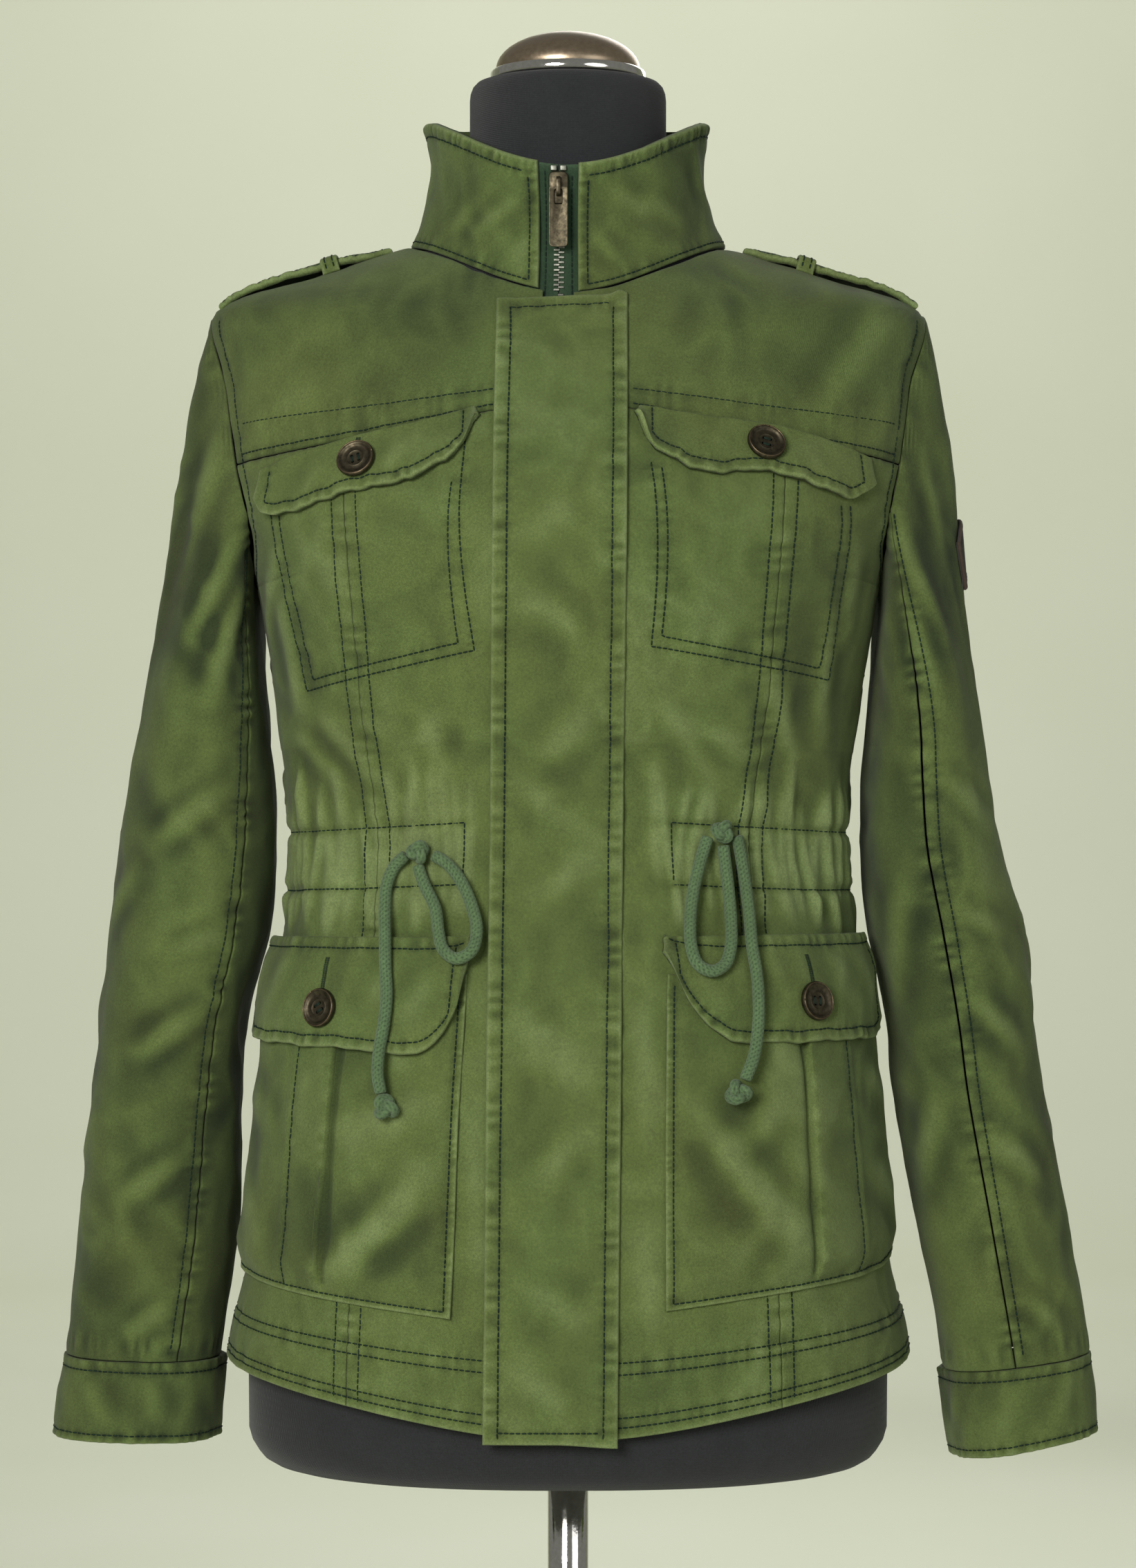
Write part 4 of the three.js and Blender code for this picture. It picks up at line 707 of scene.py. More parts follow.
# A cloth surface: base points in mm for two coordinates, and what is sewn or creased into it
class Surface:
    def __init__(self, base, outward, steps, seed=0, soft=0.5, fine=0.22):
        self.base, self.outward, self.steps = base, outward, steps
        self.seed, self.soft, self.fine = seed, soft, fine
        self.rows, self.creases, self.calm = [], [], []
        self.extra = None

    def normal(self, a, b):
        step_a, step_b = self.steps
        across = self.base(a + step_a, b) - self.base(a - step_a, b)
        along = self.base(a, b + step_b) - self.base(a, b - step_b)
        return unit(np.cross(across, along)) * self.outward

    def path(self, corners, pitch=3.0):
        """Places about every pitch mm along straight lines between corners."""
        corners = np.array(corners, float)
        places = [corners[:1]]
        for first, second in zip(corners[:-1], corners[1:]):
            shares = np.linspace(0, 1, 13)[:, None]
            line = blend(first, second, shares)
            points = self.base(line[:, 0], line[:, 1])
            lengths = run_along(points)
            count = max(2, round(lengths[-1] / pitch))
            wanted = np.linspace(0, lengths[-1], count + 1)[1:]
            share = np.interp(wanted, lengths, shares[:, 0])[:, None]
            places.append(blend(first, second, share))
        return np.concatenate(places)

    def row(self, corners, pucker, length, reach, groove, seed, thread=None):
        """A line of sewing: puckers across it, a groove under it and a thread in the groove."""
        places = self.path(corners)
        self.rows.append({
            "places": places, "points": self.base(places[:, 0], places[:, 1]), "pucker": pucker,
            "length": length, "reach": reach, "groove": groove, "seed": seed,
            "thread": groove > 0 if thread is None else thread,
        })

    def rows_in(self, table, seed=1):
        """Lines of sewing, each with its corners, pucker, length, reach and groove."""
        for number, (corners, *sizes) in enumerate(table, 1):
            self.row(corners, *sizes, number * seed)

    def fold(self, table, *same):
        """Folds given one by one, soft ridges with a hollow beside them: from, to, height, width, lean."""
        for first, second, *sizes in table:
            places = self.path([first, second], 6)
            self.creases.append((self.base(places[:, 0], places[:, 1]), *sizes, *same))

    def relief(self, points, a, b):
        """The height of the cloth's own shape, and the part of it that wear and shade follow."""
        rumpled = rumple(points, self.seed, self.soft, self.fine)
        sewn = sum((row_relief(points, row) for row in self.rows), np.zeros(len(points)))
        folded = np.zeros(len(points))
        for path, tall, width, lean in self.creases:
            folded = folded + crease_relief(points, path, tall, width, lean)
        if self.extra is not None:
            folded = folded + self.extra(points, a, b)
        height = rumpled + sewn + folded
        for middle, radius in self.calm:
            away = np.linalg.norm(points - middle, axis=1)
            height = height * ease((away - radius) / 6)
        return height, 0.6 * sewn + 0.5 * folded + 0.3 * rumpled

    def place(self, a, b, height=0.0):
        a, b = pair(a, b)
        points = self.base(a, b)
        flat, shade = self.relief(points.reshape(-1, 3), a.ravel(), b.ravel())
        flat = flat.reshape(a.shape)
        return points + self.normal(a, b) * (flat + height)[..., None], shade.reshape(a.shape)


def near_path(points, path):
    """Each point's distance from a path, and how far along the path its nearest place is."""
    closest = np.full(len(points), 1e9)
    along = np.zeros(len(points))
    passed = 0.0
    for start, end in zip(path[:-1], path[1:]):
        line = end - start
        length = float(np.linalg.norm(line))
        if length < 1e-6:
            continue
        offset = points - start
        share = np.clip(offset @ line / length ** 2, 0, 1)
        away = np.linalg.norm(offset - share[:, None] * line, axis=1)
        is_closer = away < closest
        closest = np.where(is_closer, away, closest)
        along = np.where(is_closer, passed + share * length, along)
        passed += length
    return closest, along, passed


def only_near(points, path, reach):
    low = path.min(axis=0) - reach
    high = path.max(axis=0) + reach
    return np.all((points > low) & (points < high), axis=1)


# How deep the puckers and folds are made, beside the heights that the tables state
PUCKER = 1.25
GROOVE_WIDE = 1.5


def row_relief(points, row):
    height = np.zeros(len(points))
    near = only_near(points, row["points"], row["reach"] * 2.2)
    if not near.any():
        return height
    away, along, _ = near_path(points[near], row["points"])
    turn = 2 * math.pi * along / row["length"]
    seed = row["seed"]
    wave = np.sin(turn + 1.7 * np.sin(turn / 3.1 + seed) + seed)
    size = 0.65 + 0.35 * np.sin(turn / 5.3 + 2 * seed)
    pucker = PUCKER * row["pucker"] * wave * size * np.exp(-((away / row["reach"]) ** 2))
    height[near] = pucker - row["groove"] * np.exp(-((away / GROOVE_WIDE) ** 2))
    return height


CREASE = 0.72


def crease_relief(points, path, tall, width, lean):
    height = np.zeros(len(points))
    near = only_near(points, path, width * 2.6)
    if not near.any():
        return height
    away, along, length = near_path(points[near], path)
    taper = np.sin(math.pi * np.clip(blend(0.06, 0.94, along / max(length, 1e-6)), 0, 1))
    hill = np.exp(-((away / width) ** 2) * 1.6)
    hollow = np.exp(-(((away - 1.7 * width) / width) ** 2) * 1.4)
    height[near] = CREASE * tall * taper * (hill - lean * hollow)
    return height


# Meshes. SHEETS keeps each cloth piece with its cut, area and what it lies on.
SHEETS = []
EDGE_ROLL = 1.5
FREE_EDGE_TURN = 0.62
SEWN_EDGE_TURN = 0.42
# The inner walls' share, a little under the middle, so they come out a little darker.
INSIDE_WEAR_AND_SHADE = 0.42


def spread(length, pitch, edges=(0.35, 0.9, 1.7)):
    """Shares from 0 to 1 along a length in mm: close together at both ends, even between."""
    inner = edges[-1]
    count = max(2, round((length - 2 * inner) / pitch))
    middle = np.linspace(inner, length - inner, count + 1)
    ends = np.array([0, *edges[:-1]])
    return np.concatenate([ends, middle, length - ends[::-1]]) / length


def thinned(count, every):
    """Places 0 to count - 1 with only some of them kept, the ends always."""
    kept = list(range(0, count, every))
    if kept[-1] != count - 1:
        kept.append(count - 1)
    return np.array(kept)


def rim(grid):
    """The numbers round the border of a grid, in order."""
    return np.concatenate([grid[0, :-1], grid[:-1, -1], grid[-1, :0:-1], grid[:0:-1, 0]])


def finish_mesh(name, points, faces, material, wear_and_shade=None, uv=None, smooth=True):
    mesh = bpy.data.meshes.new(name)
    mesh.from_pydata((points * MM).tolist(), [], faces)
    mesh.validate()
    if wear_and_shade is not None:
        layer = mesh.attributes.new("wear_and_shade", "FLOAT", "POINT")
        layer.data.foreach_set("value", np.asarray(wear_and_shade, np.float32))
    if uv is not None:
        corners = np.empty(len(mesh.loops), np.int32)
        mesh.loops.foreach_get("vertex_index", corners)
        layer = mesh.uv_layers.new(name="cloth_way")
        layer.data.foreach_set("uv", (uv[corners] * MM).astype(np.float32).ravel())
    mesh.materials.append(material)
    if smooth:
        mesh.polygons.foreach_set("use_smooth", np.ones(len(mesh.polygons), bool))
    piece = bpy.data.objects.new(name, mesh)
    bpy.context.scene.collection.objects.link(piece)
    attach(piece, "root")
    return piece


def outward_faces(points, faces):
    """The faces turned so that the closed mesh has a positive volume."""
    quads = np.array([face if len(face) == 4 else (*face, face[2]) for face in faces])
    a, b, c, d = (points[quads[:, k]] for k in range(4))
    volume = sum(np.einsum("ij,ij->i", a, np.cross(p, q)).sum() for p, q in ((b, c), (c, d)))
    if volume > 0:
        return faces
    return [tuple(face)[::-1] for face in faces]


def wall_mesh(name, outer, inner, kept_rows, kept_columns, material, wear_and_shade, uv):
    """A closed wall: a fine outer grid, a coarser inner one, joined round the rim."""
    rows, columns = outer.shape[:2]
    front = np.arange(rows * columns).reshape(rows, columns)
    few_rows, few_columns = inner.shape[:2]
    back = np.arange(few_rows * few_columns).reshape(few_rows, few_columns) + rows * columns
    quads = np.stack([front[:-1, :-1], front[:-1, 1:], front[1:, 1:], front[1:, :-1]], axis=-1)
    faces = [tuple(face) for face in quads.reshape(-1, 4).tolist()]
    quads = np.stack([back[:-1, :-1], back[1:, :-1], back[1:, 1:], back[:-1, 1:]], axis=-1)
    faces += [tuple(face) for face in quads.reshape(-1, 4).tolist()]
    outline = rim(front).tolist()
    inline = rim(back).tolist()
    is_corner = np.zeros((rows, columns), bool)
    is_corner[np.ix_(kept_rows, kept_columns)] = True
    joins = is_corner.ravel()
    k = 0
    for step, number in enumerate(outline):
        following = outline[(step + 1) % len(outline)]
        here = inline[k % len(inline)]
        if joins[following]:
            there = inline[(k + 1) % len(inline)]
            faces.append((here, there, following, number))
            k += 1
        else:
            faces.append((here, following, number))
    points = np.concatenate([outer.reshape(-1, 3), inner.reshape(-1, 3)])
    inner_wear_and_shade = np.full(few_rows * few_columns, INSIDE_WEAR_AND_SHADE)
    inner_uv = uv[np.ix_(kept_rows, kept_columns)].reshape(-1, 2)
    faces = outward_faces(points, faces)
    return finish_mesh(name, points, faces, material, np.concatenate([wear_and_shade.ravel(), inner_wear_and_shade]),
                       np.concatenate([uv.reshape(-1, 2), inner_uv]))


def rolled(distance, radius):
    """How far a cut edge turns in, as a share, at a distance from it."""
    t = 1 - np.clip(distance / radius, 0, 1)
    return 1 - np.sqrt(np.clip(1 - t * t, 0, 1))


def mean_length(points):
    return float(np.linalg.norm(np.diff(points, axis=1), axis=2).sum(axis=1).mean())


def panel(node, surface, size, thick, pitch, free, rests_on, to_a=None, to_b=None, every=3,
          under=None, painted_shade_shift=0.0, material="olive", more_s=(), name=None):
    """One cut piece of cloth. s and t run from 0 to 1 across and along it, and to_a and to_b turn
    them into the surface's own coordinates. free says which edges are cut edges that show (start
    and end of s, then of t)."""
    width, length = size
    s_steps = np.union1d(spread(width, pitch), more_s)
    t_steps = spread(length, pitch)
    s, t = np.meshgrid(s_steps, t_steps)
    a = to_a(s, t) if to_a else s
    b = to_b(s, t) if to_b else t
    points, relief = surface.place(a, b)
    normal = surface.normal(a, b)
    sides = [s * width, (1 - s) * width, t * length, (1 - t) * length]
    drop = 0
    edge_light = 0
    for distance, is_free in zip(sides, free):
        depth = thick * (FREE_EDGE_TURN if is_free else SEWN_EDGE_TURN)
        drop = np.maximum(drop, rolled(distance, EDGE_ROLL) * depth)
        if is_free:
            edge_light = np.maximum(edge_light, np.exp(-((distance / 1.6) ** 2)))
    outer = points - normal * drop[..., None]
    kept_rows = thinned(len(t_steps), every)
    kept_columns = thinned(len(s_steps), every)
    few = np.ix_(kept_rows, kept_columns)
    base = surface.base(a[few], b[few])
    depth = thick + 0.35 if under is None else under
    dip = np.minimum(np.einsum("ijk,ijk->ij", outer[few] - base, normal[few]), 0)
    inner = base + normal[few] * (dip - depth)[..., None]
    # Painted shade and highlight, partly wear: the share is darker in hollows, grooves and gathers, paler on
    # ridges and on worn free edges, and the whole piece is shifted lighter or darker as painted light or
    # shade.
    ridges = np.tanh((relief - np.median(relief)) / 0.6)
    wear_and_shade = np.clip(0.5 + painted_shade_shift + 0.42 * ridges + 0.45 * edge_light, 0, 1)
    uv = np.stack([s * width, t * length], axis=-1)
    piece = wall_mesh(name or f"cloth_{node}", outer, inner, kept_rows, kept_columns,
                      MATERIALS[material], wear_and_shade, uv)
    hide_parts(node)
    flat_base = surface.base(a, b)
    cut = (mean_length(flat_base), mean_length(np.swapaxes(flat_base, 0, 1)))
    across = np.linalg.norm(np.diff(flat_base, axis=1), axis=2)
    along = np.linalg.norm(np.diff(flat_base, axis=0), axis=2)
    area = float((across[:-1] * (along[:, :-1] + along[:, 1:]) / 2).sum())
    SHEETS.append((piece, cut, area, rests_on))


THREADS = {}


def sew(surface, group, lift=0.25, pitch=3.0, stitch=2.35):
    """Lays the thread of a surface's rows: one short raised stitch after another."""
    lines = THREADS.setdefault(group, [])
    for row in surface.rows:
        if not row["thread"]:
            continue
        places = row["places"]
        points = row["points"]
        lengths = run_along(points)
        count = int(lengths[-1] // pitch)
        if count < 1:
            continue
        starts = np.arange(count) * pitch + 0.3
        ends = np.minimum(starts + stitch, lengths[-1])
        both = []
        for wanted in (starts, ends):
            a = np.interp(wanted, lengths, places[:, 0])
            b = np.interp(wanted, lengths, places[:, 1])
            middle, _ = surface.place(a, b, lift)
            both.append(middle)
        out = surface.normal(a, b)
        lines.append((both[0], both[1], out))


# The waist's gathers: uneven upright ridges between and past the casing's two rows of stitches
CASING = {"top": 847, "bottom": 815, "from": 56}
GATHER_MM_PER_DEGREE = 2.6


def gather_ridges():
    chance = np.random.default_rng(8)
    ridges = []
    place = 66.0
    end = 360 * GATHER_MM_PER_DEGREE - 66
    while place < end:
        full = min(1, (min(place, end + 66 - place) - 52) / 26)
        ridges.append({
            "place": place, "height": chance.uniform(1.7, 3.4) * max(full, 0.4),
            "width": chance.uniform(2.3, 3.9), "slant": chance.uniform(-0.22, 0.22),
            "top": 868 + chance.uniform(-8, 26), "bottom": 794 + chance.uniform(-12, 12),
        })
        place += chance.uniform(6.0, 11.0)
    return ridges


GATHERS = gather_ridges()


def gathers(points, u, v):
    run = np.where(u < 0, u + 360, u) * GATHER_MM_PER_DEGREE
    total = np.zeros(len(run))
    near_band = (v > 775) & (v < 900)
    if not near_band.any():
        return total
    run, level = run[near_band], v[near_band]
    height = np.zeros(len(run))
    for fold in GATHERS:
        middle = fold["place"] + fold["slant"] * (level - 831)
        away = np.abs(run - middle)
        inside = ease((level - fold["bottom"]) / 20) * ease((fold["top"] - level) / 24)
        height += fold["height"] * inside * np.exp(-((away / fold["width"]) ** 2))
    for row in (CASING["top"], CASING["bottom"]):
        height = height * (1 - 0.6 * np.exp(-(((level - row) / 3.0) ** 2)))
    total[near_band] = height - 0.3 * (height > 0)
    return total


def on_front(corners):
    x, z = np.array(corners, float).T
    return list(zip(*spot(x, z)))


def body_base(u, v):
    return cloth(u, v, HEM_LIFT * ease((HEM_TOP_LEVEL + 3 - np.asarray(v, float)) / 3))


princess = smooth_table(["level", "x"], [
    [533, 113], [586, 112], [700, 107], [831, 97], [865, 100], [917, 107], [1009, 114], [1060, 116],
])


def princess_angle(side, v, beside=0.0):
    return np.abs(angle_at_x(princess("x", v) - (4 if side == "left" else 0) + beside, v))


def armhole_reach(v, widest):
    t = (v - ARMHOLE_MIDDLE) / ARMHOLE_HALF
    return widest * np.sqrt(np.clip(1 - t * t, 0, 1))


def degrees_of(mm, u, v):
    point = shell(u, v)
    return np.degrees(mm / np.hypot(point[..., 0], point[..., 1]))


# Sewing and creases of the body, places as x, z seen square on. Every crease in these tables is
# from, to, height, width and lean, where lean is the share of the hollow beside it.
CHEST_BAGS = {
    "right": [[(-154, 1004.5), (-136, 912.8), (-47.5, 932.8), (-50.3, 1052)],
              [(-149.4, 1003.5), (-132.6, 918.6), (-55.9, 936.5), (-58.7, 1021)]],
    "left": [[(145.9, 1008.4), (134.6, 918.8), (42.2, 934.9), (42.2, 1030)],
             [(141, 1008.4), (129.7, 924.5), (47.5, 939.9), (47.5, 1027)]],
}
FRONT_CREASES = {
    "right": [
        [(-132, 905), (-96, 866), 1.5, 7, 0.6], [(-143, 893), (-112, 860), 1.3, 6, 0.5],
        [(-76, 902), (-60, 864), 1.2, 6, 0.5], [(-152, 965), (-137, 893), 1.9, 8, 0.6],
        [(-48, 700), (-43, 600), 0.9, 8, 0.4], [(-128, 985), (-104, 950), 0.9, 9, 0.3],
        [(-60, 905), (-84, 875), 0.9, 7, 0.5], [(-165, 1095), (-120, 1080), 0.8, 10, 0.3],
        [(-150, 985), (-158, 940), 1.4, 6, 0.5],
    ],
    "left": [
        [(50, 905), (76, 864), 1.3, 6, 0.5], [(101, 930), (121, 867), 1.6, 8, 0.6],
        [(137, 962), (129, 880), 1.9, 8, 0.6], [(36, 760), (43, 690), 1.0, 9, 0.4],
        [(60, 900), (92, 878), 1.0, 7, 0.5], [(150, 990), (143, 930), 1.4, 7, 0.5],
        [(120, 1090), (160, 1072), 0.9, 10, 0.3], [(38, 640), (44, 590), 0.9, 8, 0.4],
    ],
}

PLACKET_EDGE = {"right": 38, "left": 33}
body_cloth = Surface(body_base, 1, (0.4, 0.8), seed=3, soft=0.42, fine=0.26)
body_cloth.extra = gathers


# Places as angle and level
BACK_CREASES = [
    [(150, 905), (165, 868), 1.6, 8], [(205, 915), (196, 866), 1.6, 8],
    [(128, 940), (146, 880), 1.8, 9], [(232, 945), (214, 880), 1.8, 9],
    [(170, 800), (160, 700), 1.5, 10], [(192, 795), (204, 690), 1.5, 10],
    [(120, 1040), (150, 990), 1.4, 10], [(240, 1040), (212, 992), 1.4, 10],
    [(135, 690), (146, 600), 1.3, 9], [(226, 690), (216, 600), 1.3, 9],
]


def sew_body():
    row = body_cloth.row

    def all_round(sign, start, level, sizes, dip=0.0):
        """A row from the front to the side seam, and one from there to the middle of the back."""
        row([(start, level), (sign * 45, level), (sign * 89.2, level - dip)], *sizes)
        row([(sign * 90.8, level), (sign * 135, level), (sign * 179.9, level)], *sizes)

    for side, sign in SIDES.items():
        seed = 1.7 * sign
        for corners in CHEST_BAGS[side]:
            row(on_front(corners), 0.28, 8, 4, 0.35, seed)
        for level in (YOKE_LEVEL + 2.4, YOKE_LEVEL + 9.4):
            start = sign * abs(float(angle_at_x(PLACKET_EDGE[side], level)))
            row([(start, level), (sign * 45, level), (sign * 73, level)], 0.3, 9, 4.5, 0.45, seed + 1)
        row([(start, YOKE_LEVEL), (sign * 73.5, YOKE_LEVEL)], 0.3, 8, 3, 0.5, seed + 2, False)
        levels = np.arange(HEM_LEVEL + 4, YOKE_LEVEL - 1, 14.0)
        for beside, pucker, groove in ((-6.3, 0.2, 0.3), (0, 0.5, 0), (6.3, 0.2, 0.3)):
            corners = [(sign * float(princess_angle(side, v, beside)), v) for v in levels]
            row(corners, pucker, 9.5, 5, groove, seed + beside)
        start = float(angle_at_x(sign * FRONT_EDGE[side], 560)) + 3 * sign
        for level, pucker in ((571.5, 0.4), (565.5, 0.3), (543.5, 0.3), (538.5, 0.35)):
            all_round(sign, start, level, (pucker, 9, 4, 0.35, seed + level))
        start = float(angle_at_x(sign * (CASING["from"] - 3), CASING["top"]))
        for level in (CASING["top"], CASING["bottom"]):
            all_round(sign, start, level, (0.3, 7, 4, 0.6, seed), 0.5)
        row([(start, CASING["top"]), (start, CASING["bottom"])], 0.15, 10, 5, 0.3, seed)
        turns = np.radians(np.linspace(28, 152, 12))
        for widest, turned in ((ARMHOLE_FRONT, 1), (ARMHOLE_BACK, -1)):
            corners = [(sign * (90 - turned * (widest + 2.4) * math.sin(t)),
                        ARMHOLE_MIDDLE + (ARMHOLE_HALF + 5) * math.cos(t)) for t in turns]
            row(corners, 0.3, 9, 4.5, 0.35, seed + turned)
        row([(sign * 90, level) for level in (HEM_LEVEL + 3, 700, 820, 980)], 0.5, 10, 5, 0, seed)
        body_cloth.fold([(*on_front(crease[:2]), *crease[2:]) for crease in FRONT_CREASES[side]])
    body_cloth.fold(BACK_CREASES, 0.5)


# The body's panels are shifted a little lighter by default, as painted light.
def body_panel(name, low, high, start, end, pitch, free=(0, 0, 1, 0), painted_shade_shift=0.03):
    """A panel of the body between two angles, given as functions of the level."""
    middle = (low + high) / 2
    ends = shell(np.array([start(middle), end(middle)]), middle)
    turn = np.radians(abs(end(middle) - start(middle)))
    width = float(np.hypot(*ends[:, :2].T).mean() * turn)

    def to_b(s, t):
        return blend(low, high, t)

    def to_a(s, t):
        v = to_b(s, t)
        return blend(start(v), end(v), s)

    panel(name, body_cloth, (width, high - low), CLOTH, pitch, free, ["form_torso"], to_a, to_b,
          painted_shade_shift=painted_shade_shift)


def add_front(side, sign):
    def beside_seam(v, gap):
        seam = princess_angle(side, v)
        return sign * (seam + degrees_of(gap, seam, v))

    def middle(v):
        return sign * np.abs(angle_at_x(FRONT_EDGE[side], v))

    def seam_inner(v):
        return beside_seam(v, -SEAM_GAP)

    def seam_outer(v):
        return beside_seam(v, SEAM_GAP)

    def arm_edge(v):
        return sign * (90 - armhole_reach(v, ARMHOLE_FRONT) - degrees_of(SEAM_GAP, 90, v))

    yoke_edge = YOKE_LEVEL - SEAM_GAP * 1.5
    body_panel(f"front_centre_{side}", HEM_LEVEL, yoke_edge, middle, seam_inner, 2.0)
    body_panel(f"front_side_{side}", HEM_LEVEL, yoke_edge, seam_outer, arm_edge, 2.1)
    # The yokes are shifted darker, as painted shade.
    body_panel(f"yoke_front_{side}", YOKE_LEVEL + SEAM_GAP * 1.5, NECK_LEVEL - SEAM_GAP * 2, middle,
               arm_edge, 2.2, (0, 0, 0, 0), -0.1)


def add_back():
    def edge(v):
        return 90 + armhole_reach(v, ARMHOLE_BACK) + degrees_of(SEAM_GAP, 90, v)

    def far_edge(v):
        return 360 - edge(v)

    body_panel("back", HEM_LEVEL, NECK_LEVEL - SEAM_GAP * 2, edge, far_edge, 2.9)


# The placket: a across in mm from the middle plane, b its height
PLACKET = {"right": -37, "left": 31, "drift": -6, "strip": 7.5}
PLACKET_LOW = HEM_LEVEL - 1.5


def placket_top(x):
    return 1117.2 + 0.03 * x + 2.0 * np.exp(-(((x - 27) / 3.2) ** 2))


def placket_base(x, z):
    share = (z - HEM_LEVEL) / (1116 - HEM_LEVEL)
    lift = HEM_LIFT * ease((600 - z) / 20)
    edge = np.minimum(x - PLACKET["right"], PLACKET["left"] - x)
    strip = 0.45 * ease((PLACKET["strip"] + 0.6 - edge) / 1.0)
    u, v = spot(x + PLACKET["drift"] * (1 - share), z)
    return cloth(u, v, CLEAR + DOUBLE_CLOTH + lift + strip)


PLACKET_CREASES = [
    [(-22, 962), (12, 940), 1.1, 9, 0.5], [(20, 905), (-14, 878), 1.2, 9, 0.5],
    [(-24, 870), (6, 842), 1.0, 8, 0.5], [(18, 830), (-12, 806), 1.0, 8, 0.4],
    [(-20, 742), (16, 712), 1.1, 10, 0.5], [(14, 690), (-18, 655), 1.2, 9, 0.5],
    [(-16, 612), (14, 590), 1.0, 9, 0.5], [(10, 1010), (-20, 992), 0.8, 10, 0.4],
    [(-20, 570), (6, 548), 0.9, 7, 0.4],
]


def add_placket():
    cover = Surface(placket_base, 1, (0.6, 0.8), seed=21, soft=0.4, fine=0.26)
    first, last = PLACKET["right"], PLACKET["left"]
    left_row, right_row = first + PLACKET["strip"], last - PLACKET["strip"]
    for x, *sizes in ((left_row, 0.2, 9, 4, 0.5, 1.0), (right_row, 0.2, 9, 4, 0.5, 2.3),
                      (first + 3.4, 0.62, 9.5, 4.4, 0, 3.0), (last - 3.4, 0.62, 9.5, 4.4, 0, 4.2)):
        cover.row([(x, PLACKET_LOW + 3), (x, 800), (x, 1113)], *sizes)
    cover.row([(left_row, 1110.5), (0, 1111.5), (right_row, 1112.5)], 0.4, 8, 4, 0.45, 0.4)
    cover.row([(left_row, PLACKET_LOW + 6), (right_row, PLACKET_LOW + 6)], 0.3, 9, 4, 0.4, 0.9)
    cover.fold(PLACKET_CREASES)

    def to_a(s, t):
        return blend(first, last, s)

    def to_b(s, t):
        sag = 1.6 * ease((s - 0.55) / 0.45)
        return blend(PLACKET_LOW - sag, placket_top(to_a(s, t)), t)

    panel("placket", cover, (last - first, 1116 - PLACKET_LOW), DOUBLE_CLOTH, 1.5, (1, 1, 1, 1),
          ["front_centre_right", "front_centre_left"], to_a, to_b, under=2.6)
    sew(cover, "placket")


def collar_base(u, rise):
    return collar_point(u, rise, collar_crease(u, rise))


# Places as angle and rise
COLLAR_FOLDS = [
    [(338, 46), (316, 20), 1.0, 4.5], [(314, 34), (302, 12), 1.0, 5], [(346, 30), (334, 10), 0.7, 5],
    [(20, 50), (44, 26), 0.9, 5], [(38, 40), (58, 16), 1.0, 5], [(12, 30), (26, 8), 0.8, 4],
    [(70, 50), (84, 18), 1.0, 6], [(280, 50), (268, 16), 1.0, 6], [(150, 48), (170, 20), 1.0, 7],
    [(205, 44), (222, 18), 1.0, 7],
]


def add_collar():
    stand = Surface(collar_base, 1, (0.5, 0.6), seed=31, soft=0.5, fine=0.3)
    start = math.degrees(math.asin(COLLAR_EDGE["left"] / COLLAR_FRONT))
    end = 360 - math.degrees(math.asin(COLLAR_EDGE["right"] / COLLAR_FRONT))
    first, last = start + 4.4, end - 4.4
    around = [first, 60, 120, 180, 240, 300, last]
    stand.row([(u, 59.2) for u in around], 0.25, 7, 3, 0.5, 0.3)
    stand.row([(u, 62.8) for u in [start + 1, *around[1:-1], end - 1]], 0.6, 5.2, 3.2, 0, 1.1)
    stand.row([(u, 3.2) for u in around], 0.3, 8, 4, 0.4, 2.0)
    for u, beside in ((first, start + 2), (last, end - 2)):
        stand.row([(u, 3.2), (u, 59.2)], 0.2, 8, 3, 0.45, u)
        stand.row([(beside, 3), (beside, 62)], 0.4, 7, 3, 0, u)
    stand.fold(COLLAR_FOLDS, 0.5)

    def to_a(s, t):
        return blend(start, end, s)

    def to_b(s, t):
        return blend(SEAM_GAP * 2, COLLAR_HEIGHT, t)

    # The collar is shifted darker, as painted shade.
    panel("collar", stand, (430, COLLAR_HEIGHT), COLLAR_THICK, 1.5, (1, 1, 0, 1), ["form_torso"],
          to_a, to_b, under=COLLAR_THICK + 0.2, painted_shade_shift=-0.1)
    sew(stand, "collar")


# Chest flaps: s across, t down. BUTTONS keeps where each button goes and its direction out.
BUTTONS = []
CHEST_FLAP = {
    "right": {"from": 47, "to": 159, "form": smooth_table(["x", "top", "bottom"], [
        [47, 1057.5, 1053], [53, 1056, 1037], [64, 1053, 1027.5], [81, 1049, 1018.5],
        [113, 1042, 1013], [139, 1035, 1005], [153, 1030, 1005.5], [159, 1027, 1013],
    ])},
    "left": {"from": 36, "to": 156, "form": smooth_table(["x", "top", "bottom"], [
        [36, 1057.5, 1053], [43, 1057, 1037], [50, 1056, 1031], [71, 1053, 1022.5],
        [97, 1050, 1024], [118, 1046, 1019.5], [144, 1038, 1012], [156, 1033, 1020],
    ])},
}
FLAP_STAND = 3.4
CHEST_BUTTON = (0.53, 0.5, 0.7)
CHEST_SHARES = [0.055, 0.09, 0.14, 0.22, 0.34, 0.46, 0.58, 0.7, 0.8, 0.88, 0.945]
CALM_RADIUS = 10.5


